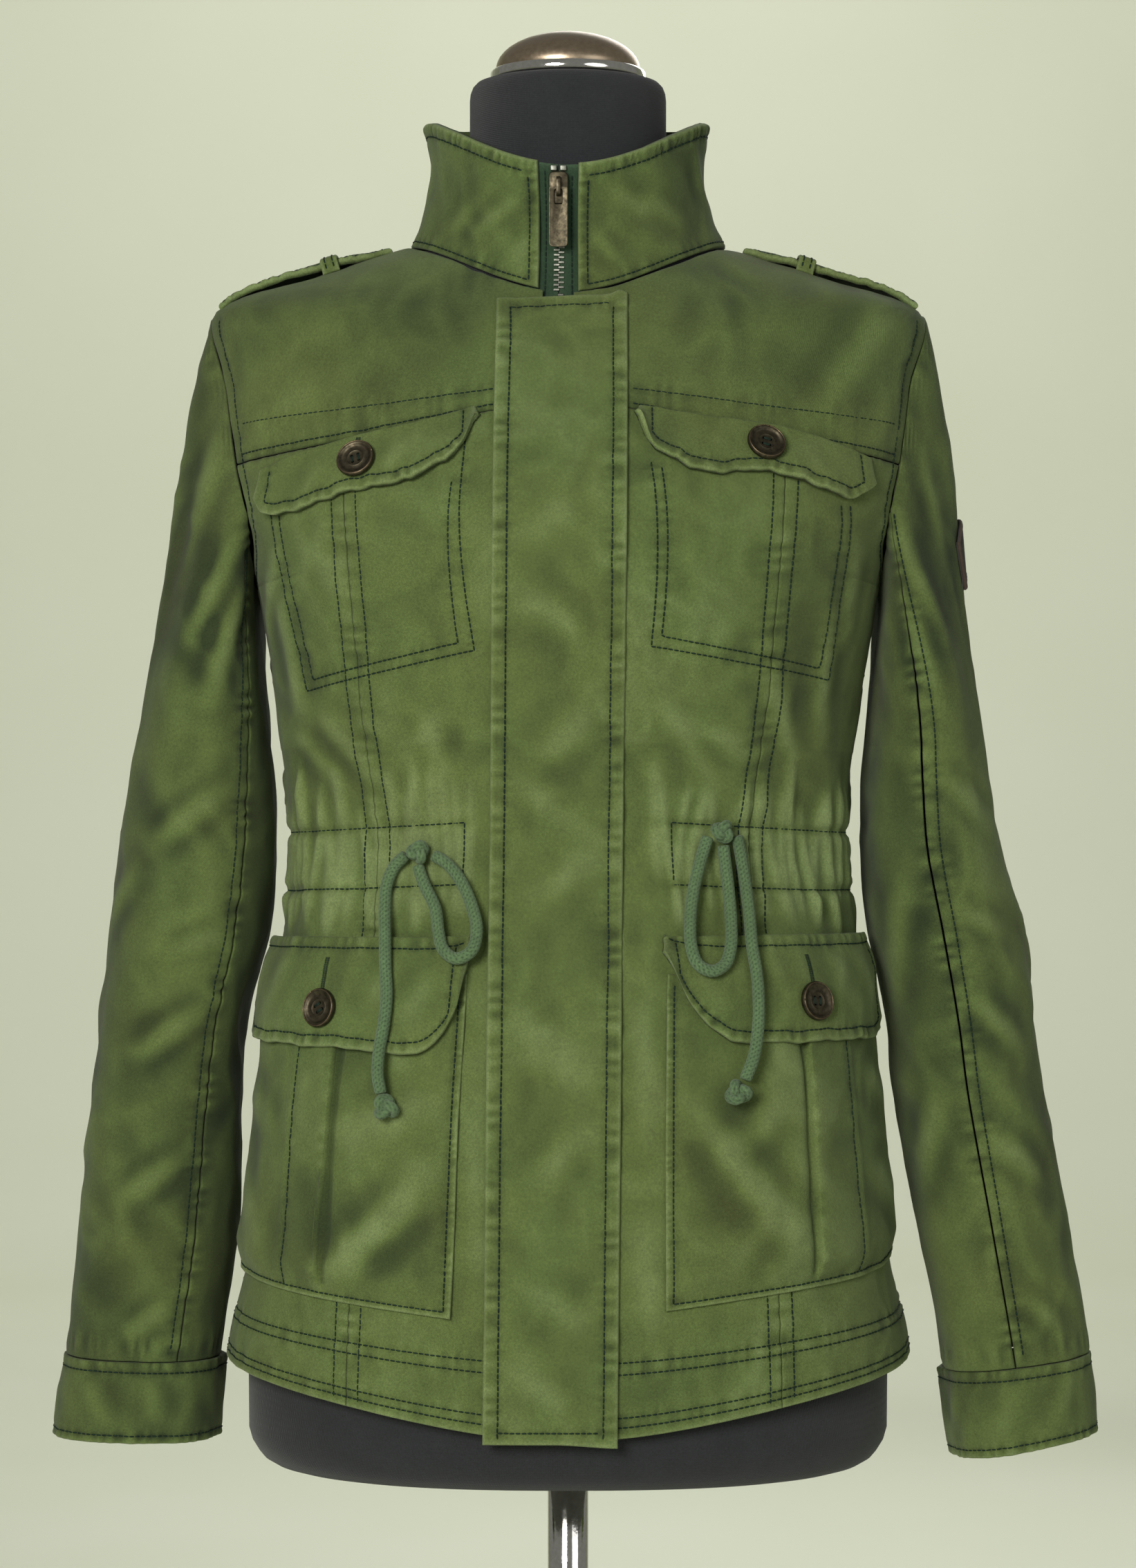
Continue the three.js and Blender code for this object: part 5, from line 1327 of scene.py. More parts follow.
def chest_flap_point(side, s, t):
    flap = CHEST_FLAP[side]
    x = blend(flap["from"], flap["to"], s)
    ripple = 0.45 * np.sin(s * 47 + SIDES[side]) + 0.3 * np.sin(s * 83)
    z = blend(flap["form"]("top", x), flap["form"]("bottom", x) + ripple, t)
    wave = 0.8 * np.sin(s * 9 + SIDES[side]) * t
    curl = 0.5 * np.sin(s * 38 + 2 * SIDES[side]) * np.clip(t, 0, 1) ** 4
    lift = CLEAR + (FLAP_STAND + wave) * np.clip(t, 0, 1) ** 1.4 + curl + DOUBLE_CLOTH
    u, v = spot(SIDES[side] * x, z)
    return cloth(u, v, lift)


def sew_outline(cover, flap, shares, inset, start_t, sizes):
    """Sews a flap's two sides and lower edge, an inset inside them, and gives the lower row."""
    lower = []
    for s in shares:
        key = blend(flap["from"], flap["to"], s)
        tall = abs(float(flap["form"]("top", key)) - float(flap["form"]("bottom", key)))
        lower.append((s, max(0.2, 1 - inset / max(tall, inset * 1.3))))
    cover.row([(shares[0], start_t), *lower, (shares[-1], start_t)], *sizes)
    return lower


def finish_flap(kind, side, cover, button, hole, size, pitch, rests_on, under):
    """The flap's cloth and sewing, its button and, from and to beside the button, its hole."""
    s, t, seat = button
    one, two = np.array([s]), np.array([t])
    middle = cover.base(one, two)[0]
    cover.calm.append((middle, CALM_RADIUS))
    panel(f"{kind}_flap_{side}", cover, size, DOUBLE_CLOTH, pitch, (1, 1, 0, 1),
          [f"{rests_on}_{side}"], under=under)
    sew(cover, "flaps")
    (s0, t0), (s1, t1) = hole
    buttonhole(cover, (s + s0, t0), (s + s1, t1))
    out = cover.normal(one, two)[0]
    BUTTONS.append((f"{kind}_button_{side}", middle + out * seat, out))


def add_chest_flaps():
    for side, sign in SIDES.items():
        flap = CHEST_FLAP[side]
        cover = Surface(partial(chest_flap_point, side), -sign, (0.004, 0.02), seed=41 + sign,
                        soft=0.3, fine=0.2)
        lower = sew_outline(cover, flap, CHEST_SHARES, 5.2, 0.04, (0.22, 8, 3.4, 0.45, sign))
        cover.row([(s, min(0.97, t + 0.09)) for s, t in lower], 0.42, 8.5, 3.2, 0, 2 * sign)
        cover.fold([((0.3, 0.3), (0.42, 0.8)), ((0.7, 0.25), (0.78, 0.85))], 0.5, 5, 0.4)
        finish_flap("chest", side, cover, CHEST_BUTTON, ((0, 0.08), (0.004, 0.4)),
                    ((flap["to"] - flap["from"]) * 1.06, 34), 1.2, "front_side", 2.3)


# Hip pockets: s from the inner edge to the side, t up
POCKET_TOP = 768
POCKET_SIDE_ANGLE = 86.5
POCKET_RISE = 5.2
PLEAT_RISE = 3.4
HIP_POCKET = {
    "right": {
        "inner": smooth_table(["z", "x"], [[590, 59.5], [640, 57], [690, 55], [753, 51.5], [775, 51]]),
        "bottom": smooth_table(["s", "z"], [[0, 594], [0.4, 601], [0.75, 607], [1, 611]]),
        "pleat": (0.44, 0.6),
        "creases": [
            [(0.42, 0.07), (0.1, 0.4), 2.4, 9, 0.6], [(0.4, 0.5), (0.12, 0.62), 1.2, 9, 0.5],
            [(0.36, 0.92), (0.2, 0.7), 1.4, 8, 0.5], [(0.95, 0.6), (0.7, 0.5), 1.4, 9, 0.5],
            [(0.93, 0.3), (0.72, 0.16), 1.3, 9, 0.5], [(0.4, 0.28), (0.3, 0.06), 1.1, 6, 0.4],
        ],
    },
    "left": {
        "inner": smooth_table(["z", "x"], [[590, 49.5], [640, 49], [690, 49], [753, 50], [775, 51]]),
        "bottom": smooth_table(["s", "z"], [[0, 598], [0.4, 606], [0.75, 612], [1, 618]]),
        "pleat": (0.48, 0.66),
        "creases": [
            [(0.08, 0.62), (0.44, 0.14), 2.3, 9, 0.6], [(0.4, 0.6), (0.14, 0.4), 1.2, 8, 0.5],
            [(0.3, 0.94), (0.42, 0.7), 1.3, 8, 0.5], [(0.95, 0.55), (0.72, 0.66), 1.4, 9, 0.5],
            [(0.92, 0.2), (0.7, 0.36), 1.3, 9, 0.5], [(0.2, 0.1), (0.36, 0.26), 1.1, 7, 0.4],
        ],
    },
}


def pocket_rise(side, s, t):
    fold, root = HIP_POCKET[side]["pleat"]
    edges = ease(s / 0.08) * ease((1 - s) / 0.08) * ease(t / 0.1)
    slope = np.clip((root - s) / (root - fold), 0, 1) * ease((s - fold) / 0.004 + 0.6)
    turn_in = 0.9 * np.exp(-(((s - root) / 0.012) ** 2))
    hollow = -1.0 * np.exp(-(((s - fold + 0.012) / 0.014) ** 2))
    full = POCKET_RISE * np.sqrt(np.clip(1 - 0.85 * t, 0, 1))
    return (full + PLEAT_RISE * slope + turn_in + hollow) * edges


def pocket_point(side, s, t):
    pocket = HIP_POCKET[side]
    z = blend(pocket["bottom"]("z", s), POCKET_TOP, t)
    inner_angle = np.abs(spot(pocket["inner"]("x", z), z)[0])
    u = blend(inner_angle, POCKET_SIDE_ANGLE, s)
    roll = 0.9 * np.exp(-((s / 0.016) ** 2)) + 0.6 * np.exp(-((t / 0.014) ** 2))
    height = CLEAR + CLOTH + pocket_rise(side, s, t) + roll
    return cloth(SIDES[side] * u, level_at_height(u, z), height)


def add_hip_pockets():
    for side, sign in SIDES.items():
        pocket = HIP_POCKET[side]
        fold, root = pocket["pleat"]
        cover = Surface(partial(pocket_point, side), sign, (0.004, 0.004), seed=51 + sign, soft=0.6,
                        fine=0.35)
        cover.rows_in([
            ([(0.026, 0.018), (0.026, 0.4), (0.026, 0.97)], 0.25, 6.5, 3, 0.5),
            ([(0.008, 0.02), (0.008, 0.4), (0.008, 0.97)], 0.45, 5, 2.2, 0),
            ([(0.026, 0.018), (0.3, 0.018), (0.6, 0.018), (0.975, 0.018)], 0.3, 8, 3, 0.5),
            ([(0.975, 0.018), (0.975, 0.5), (0.975, 0.97)], 0.2, 8, 3, 0.4),
            ([(root - 0.02, 0.02), (root - 0.02, 0.5), (root - 0.012, 0.96)], 0.2, 9, 3, 0.35),
            ([(fold + 0.008, 0.03), (fold + 0.008, 0.5), (fold + 0.008, 0.96)], 0.3, 12, 2.4, 0),
        ], sign)
        # A groove without thread inside the pleat's fold: a dent in the cloth, and painted shade in its
        # hollow.
        hollow = [(fold - 0.012, t) for t in (0.05, 0.5, 0.96)]
        cover.row(hollow, 0, 10, 5, 1.3, 7 * sign, False)
        cover.fold(pocket["creases"])
        panel(f"hip_pocket_{side}", cover, (150, 165), CLOTH, 1.7, (1, 1, 1, 0),
              [f"front_side_{side}"],
              more_s=fold + np.array([-0.009, -0.0045, -0.0015, 0.0015, 0.004]))
        sew(cover, "pockets")


HIP_FLAP = {
    "right": {"from": 25.5, "to": 87, "form": smooth_table(["angle", "top", "bottom"], [
        [25.5, 787, 772], [27, 787, 750], [33, 786.5, 729], [50, 786, 729], [70, 785, 730],
        [87, 784, 731],
    ]), "button": (0.49, 0.66, 0.1), "wide": 150},
    "left": {"from": 25, "to": 81, "form": smooth_table(["angle", "top", "bottom"], [
        [25, 787, 780], [29.5, 787, 753], [36.5, 787, 735], [42, 787, 732.5], [61, 787, 732],
        [77, 786, 733], [81, 786, 741],
    ]), "button": (0.55, 0.64, 0.7), "wide": 138},
}
hip_flap_stand = smooth_table(["z", "height"], [
    [725, 8.0], [740, 7.4], [755, 7.0], [766, 6.5], [772, 5.6], [780, 3.2], [787, 1.4], [795, 1.2],
])


def hip_flap_point(side, s, t):
    flap = HIP_FLAP[side]
    u = blend(flap["from"], flap["to"], s)
    ripple = 0.4 * np.sin(s * 34 + SIDES[side]) + 0.25 * np.sin(s * 77)
    z = blend(flap["form"]("top", u), flap["form"]("bottom", u) + ripple, t)
    curl = 0.7 * np.sin(s * 22 + 3 * SIDES[side]) * t ** 4
    band = 0.5 * ease((0.1 - t) / 0.02)
    height = hip_flap_stand("height", z) + DOUBLE_CLOTH + curl + band
    return cloth(SIDES[side] * u, level_at_height(u, z), height)


HIP_SHARES = [0.05, 0.075, 0.11, 0.16, 0.25, 0.4, 0.55, 0.7, 0.85, 0.91, 0.96]
HIP_FLAP_FOLDS = [((0.25, 0.2), (0.32, 0.6), 0.8), ((0.68, 0.15), (0.74, 0.7), 0.9),
                  ((0.12, 0.3), (0.2, 0.7), 0.7), ((0.86, 0.2), (0.9, 0.7), 0.9)]


def add_hip_flaps():
    for side, sign in SIDES.items():
        flap = HIP_FLAP[side]
        cover = Surface(partial(hip_flap_point, side), -sign, (0.004, 0.01), seed=61 + sign,
                        soft=0.45, fine=0.3)
        lower = sew_outline(cover, flap, HIP_SHARES, 5.6, 0.12, (0.25, 8.5, 3.6, 0.5, sign))
        cover.row([(s, min(0.98, t + 0.05)) for s, t in lower], 0.5, 9, 3.4, 0, 2 * sign)
        cover.row([(s, 0.105) for s in (0.02, 0.5, 0.98)], 0.25, 8, 3.5, 0.45, 3 * sign)
        cover.row([(s, 0.05) for s in (0.02, 0.5, 0.98)], 0.45, 8, 3, 0, 4 * sign)
        cover.fold(HIP_FLAP_FOLDS, 7, 0.5)
        finish_flap("hip", side, cover, flap["button"], ((0.012, 0.2), (0.006, 0.52)),
                    (flap["wide"], 56), 1.4, "hip_pocket", 2.4)


# Epaulettes: s across from front to back, t from the tip to the neck. A loop's path is y, height.
EPAULETTE = {"tip": 184.5, "neck": 93, "half": 19, "arch": 3.4}
LOOP = {"x": 125, "wide": 9}


def epaulette_point(sign, s, t):
    x = blend(EPAULETTE["tip"], EPAULETTE["neck"], t)
    narrow = 1 - 0.28 * ease((t - 0.86) / 0.12)
    y = blend(-1, 1, s) * EPAULETTE["half"] * narrow
    rise = EPAULETTE["arch"] * np.sin(math.pi * t) + DOUBLE_CLOTH + CLEAR + 0.1
    return cloth(*spot_above(sign * x, y), rise)


def add_epaulettes():
    outline = [(0.1, 0.02), (0.1, 0.5), (0.1, 0.86), (0.2, 0.97), (0.8, 0.97), (0.9, 0.86),
               (0.9, 0.5), (0.9, 0.02)]
    for side, sign in SIDES.items():
        strap = Surface(partial(epaulette_point, sign), sign, (0.01, 0.01), seed=71 + sign, soft=0.3,
                        fine=0.25)
        strap.rows_in([(outline, 0.3, 7, 3.2, 0.45), ([(0.03, 0.02), (0.03, 0.9)], 0.5, 7, 2.6, 0),
                       ([(0.97, 0.02), (0.97, 0.9)], 0.5, 7, 2.6, 0)], sign)
        panel(f"epaulette_{side}", strap, (38, 92), DOUBLE_CLOTH, 1.4, (1, 1, 0, 1),
              [f"yoke_front_{side}"], under=2.3)
        sew(strap, "epaulettes")
        add_epaulette_loop(side)


LOOP_PATH = [(-24, 1.5), (-22.8, 1.5), (-20.9, 7.9), (0, 8.4), (20.9, 7.9), (22.8, 1.5), (24, 1.5)]


def add_epaulette_loop(side):
    sign = SIDES[side]
    y_path, h_path = np.array(LOOP_PATH).T
    run = np.concatenate([[0], np.cumsum(np.hypot(np.diff(y_path), np.diff(h_path)))])

    def base(s, t):
        wanted = s * run[-1]
        y = sum(np.interp(wanted + shift, run, y_path) for shift in (-1, 0, 1)) / 3
        height = sum(np.interp(wanted + shift, run, h_path) for shift in (-1, 0, 1)) / 3
        x = LOOP["x"] + blend(-0.5, 0.5, t) * LOOP["wide"]
        u, v = spot_above(sign * x, y)
        return cloth(u, v, CLEAR + height)

    band = Surface(base, -sign, (0.01, 0.05), seed=81 + sign, soft=0.1, fine=0.12)
    band.rows_in([([(s, t) for s in (0.04, 0.5, 0.96)], 0.12, 10, 5, 0.25) for t in (0.28, 0.72)])
    panel(f"epaulette_loop_{side}", band, (62, LOOP["wide"]), CLOTH, 1.2, (0, 0, 1, 1),
          [f"epaulette_{side}"], every=2, under=1.4)
    sew(band, "epaulettes")


# Sleeves and cuffs
# Fine creases: turn and way where each starts and ends, height, width
FINE_SLEEVE_CREASES = {
    "right": [
        [(112, 1.06), (70, 1.16), 1.5, 6], [(115, 1.42), (72, 1.5), 1.6, 6],
        [(116, 1.3), (84, 1.33), 1.2, 5], [(112, 1.66), (66, 1.74), 1.4, 6],
        [(60, 1.2), (20, 1.3), 1.3, 7], [(30, 1.62), (-10, 1.7), 1.3, 7],
        [(88, 0.16), (76, 0.6), 2.0, 6], [(104, 0.3), (96, 0.8), 2.2, 6],
        [(50, 0.1), (52, 0.5), 1.4, 7], [(112, 1.9), (80, 1.96), 1.2, 5],
        [(-40, 1.1), (-80, 1.22), 1.4, 8], [(-50, 1.55), (-90, 1.64), 1.4, 8],
        [(20, 0.2), (24, 0.7), 1.2, 8], [(-20, 0.3), (-30, 0.9), 1.3, 9],
    ],
    "left": [
        [(88, 1.04), (50, 1.14), 1.4, 6], [(90, 1.4), (48, 1.5), 1.5, 6],
        [(86, 1.26), (58, 1.3), 1.2, 5], [(88, 1.62), (46, 1.72), 1.4, 6],
        [(44, 1.22), (6, 1.34), 1.3, 7], [(16, 1.6), (-24, 1.7), 1.3, 7],
        [(84, 0.14), (74, 0.6), 2.0, 6], [(92, 0.34), (86, 0.85), 2.0, 6],
        [(46, 0.1), (50, 0.5), 1.4, 7], [(84, 1.88), (56, 1.95), 1.2, 5],
        [(-40, 1.1), (-80, 1.22), 1.4, 8], [(-50, 1.55), (-90, 1.64), 1.4, 8],
        [(110, 1.2), (140, 1.4), 1.4, 8], [(112, 1.55), (146, 1.7), 1.4, 8],
    ],
}


def sleeve_base(side, turn, way):
    turn, way = pair(turn, way)
    height = sleeve_crease(side, turn, way) * ease(way / 0.04) * ease((2 - way) / 0.02)
    return sleeve_cloth(side, turn, way, height)


def sleeve_surface(side, sign):
    sleeve = Surface(partial(sleeve_base, side), sign, (0.5, 0.004), seed=91 + sign, soft=0.7,
                     fine=0.38)
    seam = FRONT_SEAM_TURN[side]
    ways = [0.06, 0.4, 0.8, 1.1, 1.4, 1.7, 1.985]
    sleeve.rows_in([
        ([(seam - 7, way) for way in ways], 0.3, 9, 4.5, 0.4),
        ([(seam, way) for way in ways], 0.6, 9.5, 5, 0),
        ([(REAR_SEAM_TURN - 353, way) for way in ways], 0.3, 9, 4.5, 0.4),
        ([(turn, 0.035) for turn in range(-120, 125, 20)], 0.35, 9, 5, 0),
        ([(turn, 1.975) for turn in range(-120, 240, 20)], 0.4, 8, 5, 0),
    ])
    sleeve.fold(FINE_SLEEVE_CREASES[side], 0.6)
    return sleeve


CUFF = {"start": 196, "sweep": 374, "lap": 2.9, "lift": 0.6, "from": 2.007,
        "wide": {"right": 258, "left": 250}}
# The sleeves and cuffs are shifted darker, as painted shade.
SLEEVE_PAINTED_SHADE = {"right": -0.2, "left": -0.1}
SLEEVE_GAP = 0.6


def cuff_base(side, s, way):
    s, way = pair(s, way)
    lap = CUFF["lap"] * ease((s - 0.9) / 0.055)
    return sleeve_cloth(side, CUFF["start"] + CUFF["sweep"] * s, way, CUFF["lift"] + lap)


def add_cuff(side, sign):
    cuff = Surface(partial(cuff_base, side), sign, (0.004, 0.01), seed=101 + sign, soft=0.4, fine=0.28)
    around = np.linspace(0.02, 0.98, 14)
    cuff.rows_in([
        ([(s, 2.13) for s in around], 0.25, 8, 3.4, 0.45),
        ([(s, 2.03) for s in around], 0.45, 8, 3.4, 0),
        ([(s, 2.9) for s in around], 0.25, 8, 3.4, 0.45),
        ([(s, 2.97) for s in around], 0.5, 8, 3.4, 0),
        ([(0.975, 2.13), (0.975, 2.9)], 0.2, 7, 3, 0.4),
    ])
    cuff.fold([((s, 2.2), (s + 0.05, 2.8)) for s in (0.12, 0.3, 0.42, 0.58, 0.7, 0.85)], 0.7, 6, 0.5)
    panel(f"cuff_{side}", cuff, (CUFF["wide"][side], 44), DOUBLE_CLOTH, 1.7, (1, 1, 0, 1),
          [f"sleeve_top_{side}"], to_b=lambda s, t: blend(CUFF["from"], 3, t), under=2.3,
          painted_shade_shift=SLEEVE_PAINTED_SHADE[side] / 2)
    sew(cuff, "cuffs")


def add_sleeves():
    for side, sign in SIDES.items():
        sleeve = sleeve_surface(side, sign)
        seam = FRONT_SEAM_TURN[side]
        for name, start, end, width, pitch in (
                ("sleeve_top", REAR_SEAM_TURN - 360 + SLEEVE_GAP, seam - SLEEVE_GAP, 205, 2.3),
                ("sleeve_under", seam + SLEEVE_GAP, REAR_SEAM_TURN - SLEEVE_GAP, 110, 2.8)):
            panel(f"{name}_{side}", sleeve, (width, 540), CLOTH, pitch, (0, 0, 0, 0), ["back"],
                  lambda s, t, start=start, end=end: blend(start, end, s),
                  lambda s, t: t * SLEEVE_LAST, painted_shade_shift=SLEEVE_PAINTED_SHADE[side])
        sew(sleeve, "sleeves")
        add_cuff(side, sign)


def patch_base(s, t):
    s, t = pair(s, t)
    turn, way = blend(34, -6, s), blend(0.49, 0.61, t)
    edge = np.minimum(np.minimum(s, 1 - s) * 34, np.minimum(t, 1 - t) * 38)
    border = 0.35 * np.exp(-(((edge - 1.2) / 1.1) ** 2))
    return sleeve_cloth("left", turn, way, 1.9 + CLEAR + sleeve_crease("left", turn, way) + border)


def add_patch():
    cover = Surface(patch_base, -1, (0.01, 0.01), seed=111, soft=0.15, fine=0.1)
    cover.row([(0.09, 0.08), (0.09, 0.92), (0.91, 0.92), (0.91, 0.08), (0.09, 0.08)], 0.1, 5, 2,
              0.2, 1)
    panel("sleeve_badge", cover, (34, 38), 1.4, 1.2, (1, 1, 1, 1), ["sleeve_top_left"], every=2,
          under=1.6, material="patch", name="cloth_patch")


# The zip: two tapes behind the fronts, metal teeth, stops, slider and pull tab
TAPE = {"wide": 17, "thick": 0.9, "gap": 0.2, "front": 3.6, "collar": 4.0}
TAPE_LOW = 539
TAPE_HIGH = 1186


def zip_point(x, z, depth):
    x, z = pair(x, z)
    risen = z - NECK_LEVEL
    u, v = spot(x, np.minimum(z, NECK_LEVEL))
    low = cloth(u, v, -TAPE["front"] - depth)
    angle = np.degrees(np.arcsin(np.clip(x / COLLAR_FRONT, -1, 1)))
    behind = blend(TAPE["front"], TAPE["collar"], ease(risen / 12))
    high = collar_point(angle, np.maximum(risen, 0), -behind - depth)
    return np.where((risen > 0)[..., None], high, low)


def tape_base(sign, s, z):
    return zip_point(ZIP_X + sign * blend(TAPE["gap"], TAPE["wide"], s), z, 0)


def add_tapes():
    for side, sign in SIDES.items():
        tape = Surface(partial(tape_base, sign), sign, (0.05, 1.0), seed=121 + sign, soft=0.08,
                       fine=0.06)
        tape.row([(0.42, z) for z in (TAPE_LOW + 5, 800, 1100, TAPE_HIGH - 3)], 0.08, 10, 5, 0.15, sign)
        panel(f"zip_tape_{side}", tape, (TAPE["wide"], TAPE_HIGH - TAPE_LOW), TAPE["thick"], 2.6,
              (1, 1, 1, 1), [f"front_centre_{side}"], to_b=lambda s, t: blend(TAPE_LOW, TAPE_HIGH, t),
              every=2, under=TAPE["thick"], material="tape")
        sew(tape, "zip")


# Tubes: closed rings of points, with the pattern running round and along them
def tube_mesh(name, rings, material, wear_and_shade=0.5):
    rows, columns = rings.shape[:2]
    first_ring = rings[rows // 2]
    girth = float(np.linalg.norm(first_ring - np.roll(first_ring, 1, axis=0), axis=1).sum())
    along = run_along(rings[:, 0])
    faces, places = [], []
    for i in range(rows - 1):
        low, high = i * columns, (i + 1) * columns
        for j in range(columns):
            k = (j + 1) % columns
            faces.append((low + j, low + k, high + k, high + j))
            left, right = j * girth / columns, (j + 1) * girth / columns
            places.append([(left, along[i]), (right, along[i]), (right, along[i + 1]), (left, along[i + 1])])
    points = np.concatenate([rings.reshape(-1, 3), rings.mean(axis=1)[[0, -1]]])
    for i, middle, turned in ((0, rows * columns, True), (rows - 1, rows * columns + 1, False)):
        for j in range(columns):
            ends = (i * columns + j, i * columns + (j + 1) % columns)
            faces.append((*(ends[::-1] if turned else ends), middle))
            places.append([(j * girth / columns, along[i])] * 3)
    if outward_faces(points, faces) is not faces:
        faces = [face[::-1] for face in faces]
        places = [place[::-1] for place in places]
    shade = np.full(len(points), wear_and_shade) if np.isscalar(wear_and_shade) else np.append(wear_and_shade.ravel(), [0.5, 0.5])
    piece = finish_mesh(name, points, faces, material, shade)
    layer = piece.data.uv_layers.new(name="cloth_way")
    corners = np.array([corner for place in places for corner in place], np.float32) * MM
    layer.data.foreach_set("uv", corners.ravel())
    return piece


def smooth_line(corners, pitch):
    """Points every pitch mm on a smooth curve through the corners."""
    corners = np.array(corners, float)
    padded = np.concatenate([[2 * corners[0] - corners[1]], corners, [2 * corners[-1] - corners[-2]]])
    line = []
    for a, b, c, d in zip(padded[:-3], padded[1:-2], padded[2:-1], padded[3:]):
        gaps = [max(float(np.linalg.norm(q - p)), 1e-4) ** 0.5 for p, q in ((a, b), (b, c), (c, d))]
        leave = ((b - a) / gaps[0] - (c - a) / (gaps[0] + gaps[1]) + (c - b) / gaps[1]) * gaps[1]
        arrive = ((c - b) / gaps[1] - (d - b) / (gaps[1] + gaps[2]) + (d - c) / gaps[2]) * gaps[1]
        t = np.linspace(0, 1, 40, endpoint=False)[:, None]
        line.append(hermite(t, b, c, leave, arrive))
    line = np.concatenate([*line, corners[-1:]])
    run = run_along(line)
    wanted = np.linspace(0, run[-1], max(3, round(run[-1] / pitch)) + 1)
    return np.stack([np.interp(wanted, run, line[:, k]) for k in range(3)], axis=-1), run[-1]


def cord_rings(line, radius, braid=0.2, sides=24, closed=False):
    """Rings round a line, with the crossing strands of a braid standing proud, and a share that makes the
    proud strands lighter as painted highlight and the gaps between them darker as painted shade.
    """
    heading = unit(np.gradient(line, axis=0))
    side = unit(np.cross(heading[0], [0.2, 1.0, 0.1]))
    sides_at = []
    for way in heading:
        side = unit(side - way * float(side @ way))
        sides_at.append(side)
    sides_at = np.array(sides_at)
    other = np.cross(heading, sides_at)
    run = run_along(line)
    angle = np.linspace(0, 2 * math.pi, sides, endpoint=False)
    turn = 2 * math.pi * run[:, None] / 7.5
    strands = np.maximum(np.sin(6 * angle + 3 * turn), np.sin(6 * angle - 3 * turn))
    reach = radius - braid + braid * strands
    ends = np.minimum(run, run[-1] - run)[:, None]
    if not closed:
        reach = reach * (0.86 + 0.14 * ease(ends / 1.2))
    rings = line[:, None] + reach[..., None] * (
        sides_at[:, None] * np.cos(angle)[:, None] + other[:, None] * np.sin(angle)[:, None])
    return rings, 0.5 + 0.38 * strands


# The waist's drawcord: on each side a knot, a loop and a tail that ends in another knot. Places
# are x, z seen square on; a knot's third number is how much farther out it sits.
cord_lift = smooth_table(["z", "lift"], [
    [700, 13.2], [715, 13.8], [730, 14.3], [742, 14.1], [755, 13.6], [766, 12.9], [772, 12.1],
    [780, 10.3], [787, 8.8], [795, 7.6], [806, 6.8], [831, 6.5], [850, 6.5],
])
DRAWCORD = {
    "right": {
        "knot": (-74.3, 829.8, 2.0), "end": (-88.2, 700.3, -0.2),
        "loop": [(-75, 822.3), (-71.5, 812), (-66, 800), (-64, 788), (-61, 779), (-54.5, 774.5),
                 (-47.5, 778.5), (-45.2, 789), (-48.5, 803), (-54.5, 816), (-61, 824), (-67.2, 828)],
        "tail": [(-80.9, 828.2), (-86.5, 822), (-90.3, 812), (-91, 800), (-90, 785), (-88.6, 770),
                 (-87.6, 756), (-88.6, 742), (-91, 727), (-91.7, 716), (-90.3, 707.2)],
    },
    "left": {
        "knot": (77, 841, 1.0), "end": (82.5, 707.7, -0.9),
        "loop": [(69.8, 838), (66.5, 826), (63, 811), (60.8, 795), (60.6, 781), (63.5, 771.5),
                 (70, 768), (76.5, 771.5), (80, 781), (80.8, 794), (80, 810), (78.6, 823), (77.6, 833.4)],
        "tail": [(84.4, 838.5), (86.3, 828), (88.4, 813), (90, 797), (90.2, 781), (91.4, 766), (92, 752),
                 (91.5, 739), (89.5, 725), (85.5, 714)],
    },
}
KNOT_RADIUS = 6.4
END_KNOT_RADIUS = 7.2


def add_knot(name, x, z, lift, radius, tilt):
    """An overhand knot drawn tight: the cord's own thickness wound through itself."""
    u, v = spot(x, z)
    middle = cloth(u, v, lift)
    out = shell_normal(u, v)
    across = unit(np.cross([0.0, 0.0, 1.0], out))
    up = np.cross(out, across)
    t = np.linspace(0, 2 * math.pi, 120, endpoint=False)
    thick = CORD_RADIUS * 0.82
    size = (radius - thick) / 3
    a = (np.sin(t) + 2 * np.sin(2 * t)) * size
    b = (np.cos(t) - 2 * np.cos(2 * t)) * size * 1.08
    c = -np.sin(3 * t) * size * 1.6
    turned_a = a * math.cos(tilt) - b * math.sin(tilt)
    turned_b = a * math.sin(tilt) + b * math.cos(tilt)
    line = middle + turned_a[:, None] * across + turned_b[:, None] * up + c[:, None] * out
    line = np.concatenate([line, line[:2]])
    rings, wear_and_shade = cord_rings(line, thick, 0.16, 16, closed=True)
    return tube_mesh(name, rings, MATERIALS["cord"], wear_and_shade)


def add_cords():
    for side in SIDES:
        cord = DRAWCORD[side]
        x, z, seat = cord["knot"]
        knot = add_knot(f"drawcord_knot_{side}", x, z, KNOT_RADIUS + seat, KNOT_RADIUS, 0.4)
        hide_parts(f"cord_knot_{side}")
        x, z, seat = cord["end"]
        end = add_knot(f"drawcord_end_knot_{side}", x, z, float(cord_lift("lift", z)) + seat,
                       END_KNOT_RADIUS, 1.3)
        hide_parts(f"cord_end_{side}")
        for part, far_end, others in (("loop", "object", [knot]), ("tail", "knot", [end])):
            x, z = np.array(cord[part], float).T
            corners = cloth(*spot(x, z), cord_lift("lift", z))
            line, length = smooth_line(corners, 0.8)
            rings, wear_and_shade = cord_rings(line, CORD_RADIUS)
            piece = tube_mesh(f"cord_{part}_{side}", rings, MATERIALS["cord"], wear_and_shade)
            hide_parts(f"drawcord_{part}_{side}")
            points = (line[::3] * MM).tolist()
            if len(line[::3]) * 3 - 2 < len(line):
                points.append((line[-1] * MM).tolist())


# Hard pieces, modelled one by one
def clear_selection():
    if bpy.context.object is not None and bpy.context.object.mode != "OBJECT":
        bpy.ops.object.mode_set(mode="OBJECT")
    bpy.ops.object.select_all(action="DESELECT")


